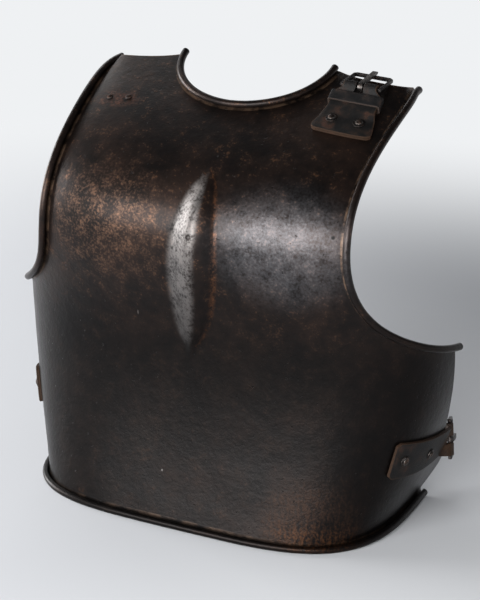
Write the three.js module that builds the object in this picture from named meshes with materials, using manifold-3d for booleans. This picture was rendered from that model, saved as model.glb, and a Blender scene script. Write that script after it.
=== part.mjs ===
// Front plate of a cuirass, standing on its waist rim.
// Millimetres. +Z is up, the chest faces -Y, +X is the wearer's left side.
// The origin is on the underside of the rim, at the middle of its front.
import * as THREE from 'three';
import { mergeVertices } from 'three/addons/utils/BufferGeometryUtils.js';
import Module from 'manifold-3d';

const wasm = await Module();
wasm.setup();

// Driving sizes of the plate
const height = 400;
const sheet = 1.6;
const gap = 0.3;

// Half width, depth and squareness of the level sections, at shares of the height
const widthShares = [0, 0.3, 0.6, 1];
const halfWidths = [175, 212, 210, 140];
const depthShares = [0, 0.28, 0.52, 0.7, 0.85, 1];
const depths = [177, 151.5, 155, 166, 124, 11];
const squareShares = [0, 0.5, 1];
const squareness = [4, 3.1, 5.5];

// Outline of the plate
const neckHalfWidth = 79;
const neckBottom = 369;
const neckRoundness = 1.93;
const sideTop = 170;
const rimEndAngle = 86.8;
const sideTopAngle = 71.3;
const sideHeights = [16, 34, 60, 100];
const sideAngles = [99, 94, 85, 78];
const armAngles = [sideTopAngle, 65, 43, 38.4, 52, 84.3, 90];
const armHeights = [sideTop, 173.5, 207, 289, 374, 390.2, 390.5];
const armTurnLength = 160;
const shoulderDip = 3.5;
const shoulderDipPower = 8;

// Raised keel on the middle of the chest
const ridgeLow = 168;
const ridgeHigh = 328;
const ridgeOffset = 6;
const ridgeLean = 6;
const ridgeHalfWidth = 24;
const ridgeRise = 11;
const ridgeCrestShare = 0.2;
const ridgeEndPower = 0.5;

// Turned and rolled edge with its wire
const flareRadius = 8;
const flareAngle = 50;
const wireRadius = 1.5;
const rollRadius = wireRadius + gap + sheet / 2;
const flareSteps = 3;
const rollSteps = 9;
const rollStepAngle = 80 / 3;
const wireSides = 6;

// Fineness of the plate
const columns = 20;
const columnPower = 1.3;
const lowRows = 8;
const lowRowPower = 1.6;
const middleRows = 13;
const highRows = 8;
const armSplitShare = 0.62;

// Rivets and burrs
const shankRadius = 2;
const rivetHeadRadius = 4.6;
const rivetHeadHeight = 1.8;
const rivetHeadSeat = 1.3;
const peenRadius = 2.9;
const peenHeight = 1.2;
const burrRadius = 5;
const burrThickness = 1;
const burrChamfer = 0.4;
const holeOverrun = 5;
const rivetSides = 12;

// Outlines of a rivet's head and spread end, as shares of their radius and height
const headShares = [[0, 1], [0.6, 0.85], [1, 0.3], [1, 0]];
const peenShares = [[1, 0], [0.8, 0.7], [0, 1]];

// Shoulder strap end: strips of leather folded round the buckle bar
const shoulder = {
  centre: 109.8, startHeight: 361, lean: 0.09, length: 54, startHalf: 28, keeperHalf: 22.3, barHalf: 15.5,
  layer: 2.2, cornerRadius: 4, liftStart: 17, liftFull: 23, liftSlope: 0.2,
  parallelStart: 30, taperStart: 46, taperEnd: 51,
  slotLength: 11, rivetAlong: 15, rivetAcross: 12.5,
  frameHalf: 19, frameLength: 29, restAngle: -20,
};
const keeperStart = 34.5;
const keeperLength = 11;
const keeperLeather = 1.7;
const keeperPlay = 0.35;

// Waist strap ends
const waist = {
  layer: 1.7, startHalf: 18, barHalf: 15, cornerRadius: 3, slope: -0.17, startHeight: 79.5,
  bendRadius: 12, bendAngle: 15, twistAngle: 28, twistLength: 8, pastEdge: 12.5, barHeight: 2,
  slotLength: 9, frontRivet: 13, rearRivet: 54, frameHalf: 19, frameLength: 28,
};
const leftWaistStart = -111;
const rightWaistStart = -106;
const waistFrameSwing = 25;

// Buckles
const barRadius = 1.75;
const eyePlay = 0.35;
const eyeRadius = barRadius + eyePlay;
const foldStep = 0.15;
const frameThickness = 3.5;
const frameWall = 2.8;
const frameClip = 3;
const frameBevel = 0.5;
const prongWidth = 4.4;
const prongThickness = 2.6;
const prongPastBar = 3;
const prongEyeWall = 1.8;
const prongEyeStart = 100;
const prongEyeEnd = 370;
const prongTipLength = 1.5;
const prongTipShares = [0.35, 0.75];
const slotPlay = 1.2;
const slotHalf = prongWidth / 2 + slotPlay;

// Two rivets left behind on the bare right shoulder
const oldRivetSpots = [[-122, 367], [-102.6, 369]];

// Fineness of curves
const barSides = 12;
const strapSteps = 24;
const acrossSteps = 4;
const arcSteps = 6;
const trackSteps = 120;

const degree = Math.PI / 180;
const half = 0.5;

// Colours
const steelDark = { color: 0x2b2725, roughness: 0.48, metalness: 0.85 };
const wireSteel = { color: 0x3a3431, roughness: 0.5, metalness: 0.85 };
const strapLeather = { color: 0x2a2420, roughness: 0.75, metalness: 0 };
const keeperLeatherLook = { color: 0x25211f, roughness: 0.7, metalness: 0 };
const buckleSteel = { color: 0x1f1d1d, roughness: 0.45, metalness: 0.85 };
const prongSteel = { color: 0x242122, roughness: 0.45, metalness: 0.85 };
const rivetSteel = { color: 0x3b322d, roughness: 0.55, metalness: 0.8 };
const burrSteel = { color: 0x2e2a29, roughness: 0.5, metalness: 0.8 };

const group = new THREE.Group();
group.name = 'cuirass';

// Natural cubic curve through values at the given places
function curveThrough(places, values) {
  const last = places.length - 1;
  const bend = new Array(places.length).fill(0);
  const upper = new Array(places.length).fill(0);
  for (let i = 1; i < last; i += 1) {
    const before = places[i] - places[i - 1];
    const after = places[i + 1] - places[i];
    const rise = (values[i + 1] - values[i]) / after - (values[i] - values[i - 1]) / before;
    const pivot = 2 * (before + after) - before * upper[i - 1];
    upper[i] = after / pivot;
    bend[i] = (6 * rise - before * bend[i - 1]) / pivot;
  }
  for (let i = last - 1; i > 0; i -= 1) {
    bend[i] -= upper[i] * bend[i + 1];
  }
  return (place) => {
    let i = 0;
    while (i < last - 1 && place > places[i + 1]) i += 1;
    const span = places[i + 1] - places[i];
    const a = (places[i + 1] - place) / span;
    const b = (place - places[i]) / span;
    const curved = ((a ** 3 - a) * bend[i] + (b ** 3 - b) * bend[i + 1]) * span * span / 6;
    return a * values[i] + b * values[i + 1] + curved;
  };
}

const widthCurve = curveThrough(widthShares, halfWidths);
const depthCurve = curveThrough(depthShares, depths);
const squareCurve = curveThrough(squareShares, squareness);

function smooth(share) {
  const s = Math.min(Math.max(share, 0), 1);
  return s * s * (3 - 2 * s);
}

// Height of the keel above the plain plate
function keel(x, z) {
  const middle = (ridgeLow + ridgeHigh) * half;
  const along = (z - middle) / ((ridgeHigh - ridgeLow) * half);
  if (Math.abs(along) >= 1) return 0;
  const fullness = (1 - along * along) ** ridgeEndPower;
  const across = (x - ridgeOffset - ridgeLean * along) / (ridgeHalfWidth * fullness);
  if (Math.abs(across) >= 1) return 0;
  const left = (across + 1) / (1 + ridgeCrestShare);
  const right = (1 - across) / (1 - ridgeCrestShare);
  const profile = across < ridgeCrestShare ? smooth(left) : smooth(half * (1 + right)) * 2 - 1;
  return ridgeRise * fullness * Math.max(profile, 0);
}

// Point of the plate's outer face at a turn angle and a height
function platePoint(angle, z) {
  const share = z / height;
  const power = squareCurve(share);
  const sine = Math.sin(angle);
  const cosine = Math.cos(angle);
  const reach = (Math.abs(sine) ** power + Math.abs(cosine) ** power) ** (-1 / power);
  const x = widthCurve(share) * reach * sine;
  const y = -depthCurve(share) * reach * cosine;
  return new THREE.Vector3(x, cosine > 0 ? y - keel(x, z) : y, z);
}

// Turn angle of the plate at a level where the side-to-side place is x
function angleAt(x, z) {
  const share = z / height;
  const power = squareCurve(share);
  const across = Math.min(Math.abs(x) / widthCurve(share), 1);
  return Math.sign(x) * Math.atan2(across, (1 - across ** power) ** (1 / power));
}

// Side-to-side place of the plain side wall at a depth and a height
function sideReach(y, z) {
  const share = z / height;
  const power = squareCurve(share);
  const back = Math.min(Math.abs(y) / depthCurve(share), 1);
  return widthCurve(share) * (1 - back ** power) ** (1 / power);
}

// Outward direction of a face given by two running values
function outward(point, a, b, stepA, stepB) {
  const across = point(a + stepA, b).sub(point(a - stepA, b));
  const up = point(a, b + stepB).sub(point(a, b - stepB));
  return across.cross(up).normalize();
}

const probe = height / 4000;
const angleProbe = probe / halfWidths[0];
const shortEdge = probe / 4;

function plateNormal(angle, z) {
  return outward(platePoint, angle, z, angleProbe, probe);
}

// Neck opening as turn angle and height, from the middle to its end
function neckEdge(share) {
  const turn = share * Math.PI * half;
  const x = neckHalfWidth * Math.sin(turn) ** (2 / neckRoundness);
  const z = height - (height - neckBottom) * Math.max(Math.cos(turn), 0) ** (2 / neckRoundness);
  return [angleAt(x, z), z];
}

// Arm opening as turn angle and height, from its low end to the shoulder
const armPlaces = [0];
for (let i = 1; i < armAngles.length; i += 1) {
  const turned = (armAngles[i] - armAngles[i - 1]) * degree * armTurnLength;
  const step = Math.hypot(turned, armHeights[i] - armHeights[i - 1]);
  armPlaces.push(armPlaces[i - 1] + step);
}
const armLength = armPlaces[armPlaces.length - 1];
const armAngleCurve = curveThrough(armPlaces, armAngles.map((value) => value * degree));
const armHeightCurve = curveThrough(armPlaces, armHeights);

function armEdge(share) {
  return [armAngleCurve(share * armLength), armHeightCurve(share * armLength)];
}

// Height of the plate's plain wall above the floor, so that the roll rests on it
const flareDepth = (flareRadius - rollRadius) * Math.sin(flareAngle * degree);
const facetReach = Math.cos(rollStepAngle * half * degree);
const wallBottom = flareDepth + (rollRadius + sheet * half) * facetReach;

// Turn angle of the cut side edge at a height, with its rounded low corner
const sideEdgeAngle = curveThrough(
  [wallBottom, ...sideHeights, sideTop],
  [rimEndAngle, ...sideAngles, sideTopAngle].map((value) => value * degree),
);

const lowHeight = (row) => wallBottom + (sideTop - wallBottom) * (row / lowRows) ** lowRowPower;

// Running values of the two long sides of one half of the plate, row by row
function innerSide(row) {
  if (row <= lowRows) return [0, lowHeight(row)];
  if (row <= lowRows + middleRows) {
    return [0, sideTop + (neckBottom - sideTop) * (row - lowRows) / middleRows];
  }
  return neckEdge((row - lowRows - middleRows) / highRows);
}

function outerSide(row) {
  if (row <= lowRows) return [sideEdgeAngle(lowHeight(row)), lowHeight(row)];
  if (row <= lowRows + middleRows) return armEdge(armSplitShare * (row - lowRows) / middleRows);
  return armEdge(armSplitShare + (1 - armSplitShare) * (row - lowRows - middleRows) / highRows);
}

const rows = lowRows + middleRows + highRows;
const neckRow = lowRows + middleRows;

// Middle layer of the sheet: points, outward directions and four-sided cells
const layer = { points: [], normals: [], cells: [] };

function addNode(point, normal) {
  layer.points.push(point);
  layer.normals.push(normal);
  return layer.points.length - 1;
}

function addCell(a, b, c, d, flipped) {
  layer.cells.push(flipped ? [d, c, b, a] : [a, b, c, d]);
}

// Half of the plain plate, side 1 for the wearer's left and -1 for the right
function plateHalf(side, shared) {
  const grid = [];
  for (let row = 0; row <= rows; row += 1) {
    const [innerAngle, innerHeight] = innerSide(row);
    const [outerAngle, outerHeight] = outerSide(row);
    grid.push([]);
    for (let column = 0; column <= columns; column += 1) {
      if (column === 0 && row <= neckRow && shared) {
        grid[row].push(shared[row][0]);
      } else {
        const share = (column / columns) ** columnPower;
        const angle = side * (innerAngle + (outerAngle - innerAngle) * share);
        const dip = row === rows ? shoulderDip * (1 - share) * (1 - (1 - share) ** shoulderDipPower) : 0;
        const z = innerHeight + (outerHeight - innerHeight) * share - dip;
        const normal = plateNormal(angle, z);
        if (row === 0) normal.setZ(0).normalize();
        grid[row].push(addNode(platePoint(angle, z).addScaledVector(normal, -sheet * half), normal));
      }
    }
  }
  for (let row = 0; row < rows; row += 1) {
    for (let column = 0; column < columns; column += 1) {
      const low = grid[row];
      const high = grid[row + 1];
      addCell(low[column], low[column + 1], high[column + 1], high[column], side < 0);
    }
  }
  return grid;
}

// Cross-section of a turned and rolled edge: outward, raised, turn angle
function rollProfile() {
  const profile = [];
  for (let i = 1; i <= flareSteps; i += 1) {
    const turn = flareAngle * degree * i / flareSteps;
    profile.push([flareRadius * Math.sin(turn), flareRadius * (1 - Math.cos(turn)), turn]);
  }
  const [startOut, startUp, startTurn] = profile[profile.length - 1];
  const centreOut = startOut - rollRadius * Math.sin(startTurn);
  const centreUp = startUp + rollRadius * Math.cos(startTurn);
  for (let i = 1; i <= rollSteps; i += 1) {
    const turn = startTurn + rollStepAngle * degree * i;
    const out = centreOut + rollRadius * Math.sin(turn);
    profile.push([out, centreUp - rollRadius * Math.cos(turn), turn]);
  }
  return { profile, centreOut, centreUp };
}

const roll = rollProfile();

// Rolled edge along a row of border nodes; gives back the run of the wire centre
function rollEdge(path, inside, level, flipped) {
  const centres = [];
  const strips = path.map((node, i) => {
    const point = layer.points[node];
    const normal = layer.normals[node];
    const before = layer.points[path[Math.max(i - 1, 0)]];
    const after = layer.points[path[Math.min(i + 1, path.length - 1)]];
    const tangent = after.clone().sub(before).normalize();
    const away = level ? new THREE.Vector3(0, 0, -1) : tangent.clone().cross(normal).normalize();
    const inward = layer.points[inside[i]].clone().sub(point);
    if (!level && away.dot(inward) > 0) away.negate();
    const centre = point.clone().addScaledVector(away, roll.centreOut);
    centre.addScaledVector(normal, roll.centreUp);
    centres.push({ centre, away, normal });
    const strip = [node];
    roll.profile.forEach(([out, up, turn]) => {
      const place = point.clone().addScaledVector(away, out).addScaledVector(normal, up);
      const facing = normal.clone().multiplyScalar(Math.cos(turn));
      facing.addScaledVector(away, -Math.sin(turn));
      strip.push(addNode(place, facing));
    });
    return strip;
  });
  for (let i = 0; i < strips.length - 1; i += 1) {
    for (let j = 0; j < roll.profile.length; j += 1) {
      addCell(strips[i][j], strips[i][j + 1], strips[i + 1][j + 1], strips[i + 1][j], flipped);
    }
  }
  return centres;
}

function geometryFrom(points, triangles) {
  const places = new Float32Array(points.length * 3);
  points.forEach((point, i) => places.set([point.x, point.y, point.z], i * 3));
  const geometry = new THREE.BufferGeometry();
  geometry.setAttribute('position', new THREE.BufferAttribute(places, 3));
  geometry.setIndex(triangles.flat());
  return geometry;
}

// Closed sheet of the plate's thickness round the middle layer
function thicken() {
  const count = layer.points.length;
  const outer = layer.points.map((point, i) => (
    point.clone().addScaledVector(layer.normals[i], sheet * half)));
  const inner = layer.points.map((point, i) => (
    point.clone().addScaledVector(layer.normals[i], -sheet * half)));
  const triangles = [];
  const edges = new Map();
  layer.cells.forEach(([a, b, c, d]) => {
    [[a, b, c], [a, c, d]].forEach(([p, q, r]) => {
      triangles.push([p, q, r], [r + count, q + count, p + count]);
      [[p, q], [q, r], [r, p]].forEach(([from, to]) => edges.set(`${from} ${to}`, [from, to]));
    });
  });
  edges.forEach(([from, to]) => {
    if (!edges.has(`${to} ${from}`)) {
      triangles.push([to, from, from + count], [to, from + count, to + count]);
    }
  });
  return geometryFrom([...outer, ...inner], triangles);
}

// Solid bodies for cutting and joining
function solid(geometry) {
  const bare = geometry.clone();
  bare.deleteAttribute('normal');
  bare.deleteAttribute('uv');
  const merged = outwardFacing(mergeVertices(bare, probe / 100));
  return new wasm.Manifold(new wasm.Mesh({
    numProp: 3,
    vertProperties: new Float32Array(merged.attributes.position.array),
    triVerts: new Uint32Array(merged.index.array),
  }));
}

// Surface of a cut body, its shortest edges closed up to points
function geometryOf(body) {
  const { vertProperties, triVerts } = body.getMesh();
  const points = [];
  for (let i = 0; i < vertProperties.length; i += 3) {
    points.push(new THREE.Vector3().fromArray(vertProperties, i));
  }
  const standIn = points.map((point, i) => i);
  const kept = (i) => (standIn[i] === i ? i : kept(standIn[i]));
  const triangles = [];
  for (let i = 0; i < triVerts.length; i += 3) triangles.push([...triVerts.slice(i, i + 3)]);
  triangles.forEach(([p, q, r]) => {
    [[p, q], [q, r], [r, p]].forEach(([from, to]) => {
      if (points[kept(from)].distanceTo(points[kept(to)]) < shortEdge) standIn[kept(to)] = kept(from);
    });
  });
  const closed = triangles.map((corners) => corners.map(kept));
  const whole = closed.filter(([p, q, r]) => p !== q && q !== r && r !== p);
  const used = [...new Set(whole.flat())];
  const places = new Map(used.map((from, to) => [from, to]));
  return geometryFrom(used.map((i) => points[i]), whole.map((corners) => corners.map((i) => places.get(i))));
}

function place(name, geometry, look) {
  const material = new THREE.MeshStandardMaterial(look);
  const mesh = new THREE.Mesh(geometry, material);
  mesh.name = name;
  group.add(mesh);
}

// Wire that fills a rolled edge
function wireAlong(centres) {
  const points = [];
  const triangles = [];
  centres.forEach(({ centre, away, normal }) => {
    for (let i = 0; i < wireSides; i += 1) {
      const turn = 2 * Math.PI * i / wireSides;
      const point = centre.clone().addScaledVector(away, wireRadius * Math.cos(turn));
      points.push(point.addScaledVector(normal, wireRadius * Math.sin(turn)));
    }
  });
  const last = (centres.length - 1) * wireSides;
  for (let ring = 0; ring < last; ring += wireSides) {
    for (let i = 0; i < wireSides; i += 1) {
      const next = (i + 1) % wireSides;
      triangles.push([ring + i, ring + next, ring + wireSides + next]);
      triangles.push([ring + i, ring + wireSides + next, ring + wireSides + i]);
    }
  }
  for (let i = 1; i < wireSides - 1; i += 1) {
    triangles.push([0, i + 1, i], [last, last + i, last + i + 1]);
  }
  return outwardFacing(geometryFrom(points, triangles));
}

// Turns a closed body's triangles round when they face in
function outwardFacing(geometry) {
  const position = geometry.attributes.position;
  const index = geometry.index.array;
  const a = new THREE.Vector3();
  const b = new THREE.Vector3();
  const c = new THREE.Vector3();
  let volume = 0;
  for (let i = 0; i < index.length; i += 3) {
    a.fromBufferAttribute(position, index[i]);
    b.fromBufferAttribute(position, index[i + 1]);
    c.fromBufferAttribute(position, index[i + 2]);
    volume += a.dot(b.cross(c));
  }
  if (volume < 0) {
    for (let i = 0; i < index.length; i += 3) {
      [index[i], index[i + 1]] = [index[i + 1], index[i]];
    }
  }
  return geometry;
}

// Strap tracks: run along the strap, across it and off the plate to a point
function runAlong(guide, from, to) {
  const places = [];
  let length = 0;
  let previous = guide(from);
  for (let i = 0; i <= trackSteps; i += 1) {
    const value = from + (to - from) * i / trackSteps;
    const point = guide(value);
    length += point.distanceTo(previous);
    places.push([length, value]);
    previous = point;
  }
  return (along) => {
    let i = 1;
    while (i < trackSteps && places[i][0] < along) i += 1;
    const [startLength, start] = places[i - 1];
    const [endLength, end] = places[i];
    return start + (end - start) * (along - startLength) / (endLength - startLength);
  };
}

const shoulderFace = (x, z) => platePoint(angleAt(x, z), z);
const shoulderGuide = (z) => (
  shoulderFace(shoulder.centre + shoulder.lean * (z - shoulder.startHeight), z));
const shoulderRun = runAlong(shoulderGuide, shoulder.startHeight, height);

// Centre line of the shoulder strap with its directions ahead, across and off the plate
function shoulderAxes(along) {
  const z = shoulderRun(along);
  const centre = shoulderGuide(z);
  const ahead = shoulderGuide(z + probe).sub(shoulderGuide(z - probe)).normalize();
  const across = ahead.clone().cross(outward(shoulderFace, centre.x, z, probe, probe)).normalize();
  return { centre, ahead, across };
}

const barAcross = shoulderAxes(shoulder.length).across;

// Follows the plate at the riveted tail and runs straight across where its sides are parallel
function shoulderTrack(along, across, off) {
  const { centre, ahead, across: sideways } = shoulderAxes(along);
  const x = centre.x + sideways.x * across;
  const z = centre.z + sideways.z * across;
  const { liftStart, parallelStart } = shoulder;
  const straight = smooth((along - liftStart) / (parallelStart - liftStart));
  const levelNormal = barAcross.clone().cross(ahead);
  const point = shoulderFace(x, z).lerp(centre.addScaledVector(barAcross, across), straight);
  const normal = outward(shoulderFace, x, z, probe, probe).lerp(levelNormal, straight);
  return point.addScaledVector(normal.normalize(), off);
}

// Height of the shoulder strap's underside, a ramp that starts softly past the rivets
function shoulderLift(along) {
  const { liftStart, liftFull, liftSlope } = shoulder;
  const soft = Math.min(Math.max(along - liftStart, 0), liftFull - liftStart);
  const steady = Math.max(along - liftFull, 0);
  return gap + liftSlope * (soft * soft * half / (liftFull - liftStart) + steady);
}

// Depth of the plate's cut side edge at a height
function sideEdgeDepth(z) {
  return platePoint(sideEdgeAngle(z), z).y;
}

function waistTrack(side, start) {
  const face = (y, z) => new THREE.Vector3(side * sideReach(y, z), y, z);
  const level = (y) => waist.startHeight + waist.slope * (y - start);
  const onRun = (y) => face(y, level(y));
  const facing = (y, z) => outward(face, y, z, probe, probe).multiplyScalar(side);
  const edgeDepth = sideEdgeDepth(level(sideEdgeDepth(level(0))));
  const run = runAlong(onRun, start, edgeDepth);
  let bendStart = 0;
  for (let i = 1; i <= trackSteps; i += 1) {
    const from = start + (edgeDepth - start) * (i - 1) / trackSteps;
    const to = start + (edgeDepth - start) * i / trackSteps;
    bendStart += onRun(to).distanceTo(onRun(from));
  }
  const origin = onRun(edgeDepth);
  const normal = facing(edgeDepth, level(edgeDepth));
  const ahead = onRun(edgeDepth).sub(onRun(edgeDepth - probe)).normalize();
  const up = normal.clone().cross(ahead).multiplyScalar(side).normalize();
  const onWall = (along, across, off) => {
    const y = run(along) + up.y * across;
    const z = level(run(along)) + up.z * across;
    return face(y, z).addScaledVector(facing(y, z), off);
  };
  const track = (along, across, off) => {
    if (along <= bendStart) return onWall(along, across, off);
    const turned = Math.min((along - bendStart) / waist.bendRadius, waist.bendAngle * degree);
    const straight = along - bendStart - turned * waist.bendRadius;
    const point = origin.clone();
    point.addScaledVector(ahead, waist.bendRadius * Math.sin(turned) + straight * Math.cos(turned));
    point.addScaledVector(normal, waist.bendRadius * (1 - Math.cos(turned)) + straight * Math.sin(turned));
    const onward = ahead.clone().multiplyScalar(Math.cos(turned)).addScaledVector(normal, Math.sin(turned));
    const twist = -side * waist.twistAngle * degree * smooth((along - bendStart) / waist.twistLength);
    const above = up.clone().applyAxisAngle(onward, twist);
    const aside = onward.clone().cross(above).multiplyScalar(side);
    return point.addScaledVector(above, across).addScaledVector(aside, off);
  };
  const barAlong = bendStart + waist.pastEdge;
  const barUp = track(barAlong, probe, 0).sub(track(barAlong, 0, 0)).normalize();
  return { track, barUp, barAlong };
}

// Lays a body drawn in strap directions onto a track
function lay(geometry, track) {
  const position = geometry.attributes.position;
  for (let i = 0; i < position.count; i += 1) {
    const point = track(position.getX(i), position.getZ(i), position.getY(i));
    position.setXYZ(i, point.x, point.y, point.z);
  }
  return geometry;
}

// Strap with an eye for the bar at its folded end, drawn along, off and across
function strapBody(track, size) {
  const { length, under, over, halfWidthAt, barHeight, eyeOuter } = size;
  const run = new THREE.BoxGeometry(length, 1, 2, strapSteps, 1, acrossSteps);
  run.translate(length * half, half, 0);
  const position = run.attributes.position;
  for (let i = 0; i < position.count; i += 1) {
    const along = Math.max(position.getX(i), 0);
    const off = under(along) + (over(along) - under(along)) * position.getY(i);
    position.setXYZ(i, along, off, position.getZ(i) * halfWidthAt(along));
  }
  const acrossBar = (radius, width) => {
    const round = new THREE.CylinderGeometry(radius, radius, width, barSides, acrossSteps);
    round.rotateX(Math.PI * half).translate(length, barHeight, 0);
    return solid(lay(round, track));
  };
  const width = 2 * halfWidthAt(length);
  const fold = acrossBar(eyeOuter, width - gap);
  return solid(lay(run, track)).add(fold).subtract(acrossBar(eyeRadius, width + holeOverrun));
}

// Slot through the fold where the prong swings
function slotBody(track, length, slotLength, barHeight, eyeOuter) {
  const long = slotLength + 2 * eyeOuter;
  const deep = 4 * eyeOuter;
  const box = new THREE.BoxGeometry(long, deep, 2 * slotHalf, acrossSteps, 1, acrossSteps);
  box.translate(length + eyeOuter - slotLength * half, barHeight, 0);
  return solid(lay(box, track));
}

// Basis on a track with its y axis up off the plate, for lathe-turned pieces
function basisOn(track, along, across) {
  const foot = track(along, across, 0);
  const up = track(along, across, probe).sub(foot).normalize();
  const forward = track(along + probe, across, 0).sub(foot);
  const side = forward.clone().cross(up).normalize();
  const ahead = up.clone().cross(side);
  return new THREE.Matrix4().makeBasis(ahead, up, side).setPosition(foot);
}

function standing(geometry, basis) {
  return geometry.clone().applyMatrix4(basis);
}

function turned(points) {
  const profile = points.map(([radius, up]) => new THREE.Vector2(radius, up));
  const lathe = new THREE.LatheGeometry(profile, rivetSides);
  lathe.deleteAttribute('normal');
  lathe.deleteAttribute('uv');
  return outwardFacing(mergeVertices(lathe, probe / 100));
}

// Rivet with its head inside the plate and its end spread outside
function rivetShape(top) {
  const inside = -sheet - rivetHeadSeat;
  const head = headShares.map(([radius, up]) => (
    [radius * rivetHeadRadius, inside - up * rivetHeadHeight]));
  const peen = peenShares.map(([radius, up]) => [radius * peenRadius, top + up * peenHeight]);
  return turned([...head, [shankRadius, inside], [shankRadius, top], ...peen, head[0]]);
}

function burrShape(bottom) {
  const top = bottom + burrThickness;
  return turned([
    [shankRadius + gap, bottom],
    [burrRadius, bottom],
    [burrRadius, top - burrChamfer],
    [burrRadius - burrChamfer, top],
    [shankRadius + gap, top],
    [shankRadius + gap, bottom],
  ]);
}

function holeShape(low, high) {
  const radius = shankRadius + gap;
  return turned([[0, low], [radius, low], [radius, high], [0, high], [0, low]]);
}

const plateCuts = [];

// One rivet with its burr through a strap and the plate
function rivetThrough(prefix, track, along, across, strapTop, strap) {
  const basis = basisOn(track, along, across);
  const burrFoot = strapTop + gap;
  const top = burrFoot + burrThickness + gap;
  place(`${prefix}_rivet`, standing(rivetShape(top), basis), rivetSteel);
  place(`${prefix}_burr`, standing(burrShape(burrFoot), basis), burrSteel);
  const hole = solid(standing(holeShape(-holeOverrun, top), basis));
  plateCuts.push(hole);
  return strap.subtract(hole);
}

// Buckle frame in its own plane: x along the bar, y to the far bar, z up
function frameBody(frameHalf, frameLength) {
  const inner = frameHalf - frameWall;
  const far = frameLength + frameWall * half;
  const near = -barRadius - gap;
  const shape = new THREE.Shape();
  shape.moveTo(-frameHalf, near);
  shape.lineTo(-inner, near);
  shape.lineTo(-inner, far - frameWall);
  shape.lineTo(inner, far - frameWall);
  shape.lineTo(inner, near);
  shape.lineTo(frameHalf, near);
  shape.lineTo(frameHalf, far - frameClip);
  shape.lineTo(frameHalf - frameClip, far);
  shape.lineTo(frameClip - frameHalf, far);
  shape.lineTo(-frameHalf, far - frameClip);
  shape.closePath();
  const arms = new THREE.ExtrudeGeometry(shape, {
    depth: frameThickness - 2 * frameBevel,
    bevelEnabled: true,
    bevelThickness: frameBevel,
    bevelSize: frameBevel,
    bevelOffset: -frameBevel,
    bevelSegments: 1,
  });
  arms.translate(0, 0, frameBevel - frameThickness * half);
  const bar = new THREE.CylinderGeometry(barRadius, barRadius, 2 * inner + frameWall, barSides);
  bar.rotateZ(Math.PI * half);
  return solid(arms).add(solid(bar));
}

// Prong with an eye round the bar, resting on the far bar
function prongBody(frameLength) {
  const eyeOuter = eyeRadius + prongEyeWall;
  const rest = frameThickness * half + gap;
  const tip = frameLength + frameWall * half + prongPastBar;
  const blunt = prongTipShares.map((share) => rest + prongThickness * share);
  const shape = new THREE.Shape();
  const turns = 2 * arcSteps;
  for (let i = 0; i <= turns; i += 1) {
    const turn = (prongEyeStart + (prongEyeEnd - prongEyeStart) * i / turns) * degree;
    const y = eyeOuter * Math.cos(turn);
    const z = eyeOuter * Math.sin(turn);
    if (i === 0) shape.moveTo(y, z);
    else shape.lineTo(y, z);
  }
  shape.lineTo(frameLength - frameWall, rest);
  shape.lineTo(tip - prongTipLength, rest);
  shape.lineTo(tip, blunt[0]);
  shape.lineTo(tip, blunt[1]);
  shape.lineTo(tip - prongTipLength, rest + prongThickness);
  shape.lineTo(frameLength - frameWall, rest + prongThickness);
  shape.closePath();
  const hole = new THREE.Path();
  for (let i = 0; i < barSides; i += 1) {
    const turn = 2 * Math.PI * i / barSides;
    if (i === 0) hole.moveTo(eyeRadius, 0);
    else hole.lineTo(eyeRadius * Math.cos(turn), eyeRadius * Math.sin(turn));
  }
  shape.holes.push(hole);
  const prong = new THREE.ExtrudeGeometry(shape, { depth: prongWidth, bevelEnabled: false });
  prong.translate(0, 0, -prongWidth * half);
  const turnIn = new THREE.Matrix4().makeBasis(
    new THREE.Vector3(0, 1, 0), new THREE.Vector3(0, 0, 1), new THREE.Vector3(1, 0, 0));
  return solid(prong.applyMatrix4(turnIn));
}

function buckle(prefix, basis, frameHalf, frameLength) {
  const frame = geometryOf(frameBody(frameHalf, frameLength));
  const prong = geometryOf(prongBody(frameLength));
  place(`${prefix}_buckle_frame`, frame.applyMatrix4(basis), buckleSteel);
  place(`${prefix}_prong`, prong.applyMatrix4(basis), prongSteel);
}

// Basis at a bar centre from the bar direction and the frame direction
function bucklePlane(centre, barDirection, frameDirection) {
  const up = barDirection.clone().cross(frameDirection).normalize();
  const ahead = up.clone().cross(barDirection).normalize();
  return new THREE.Matrix4().makeBasis(barDirection, ahead, up).setPosition(centre);
}

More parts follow.
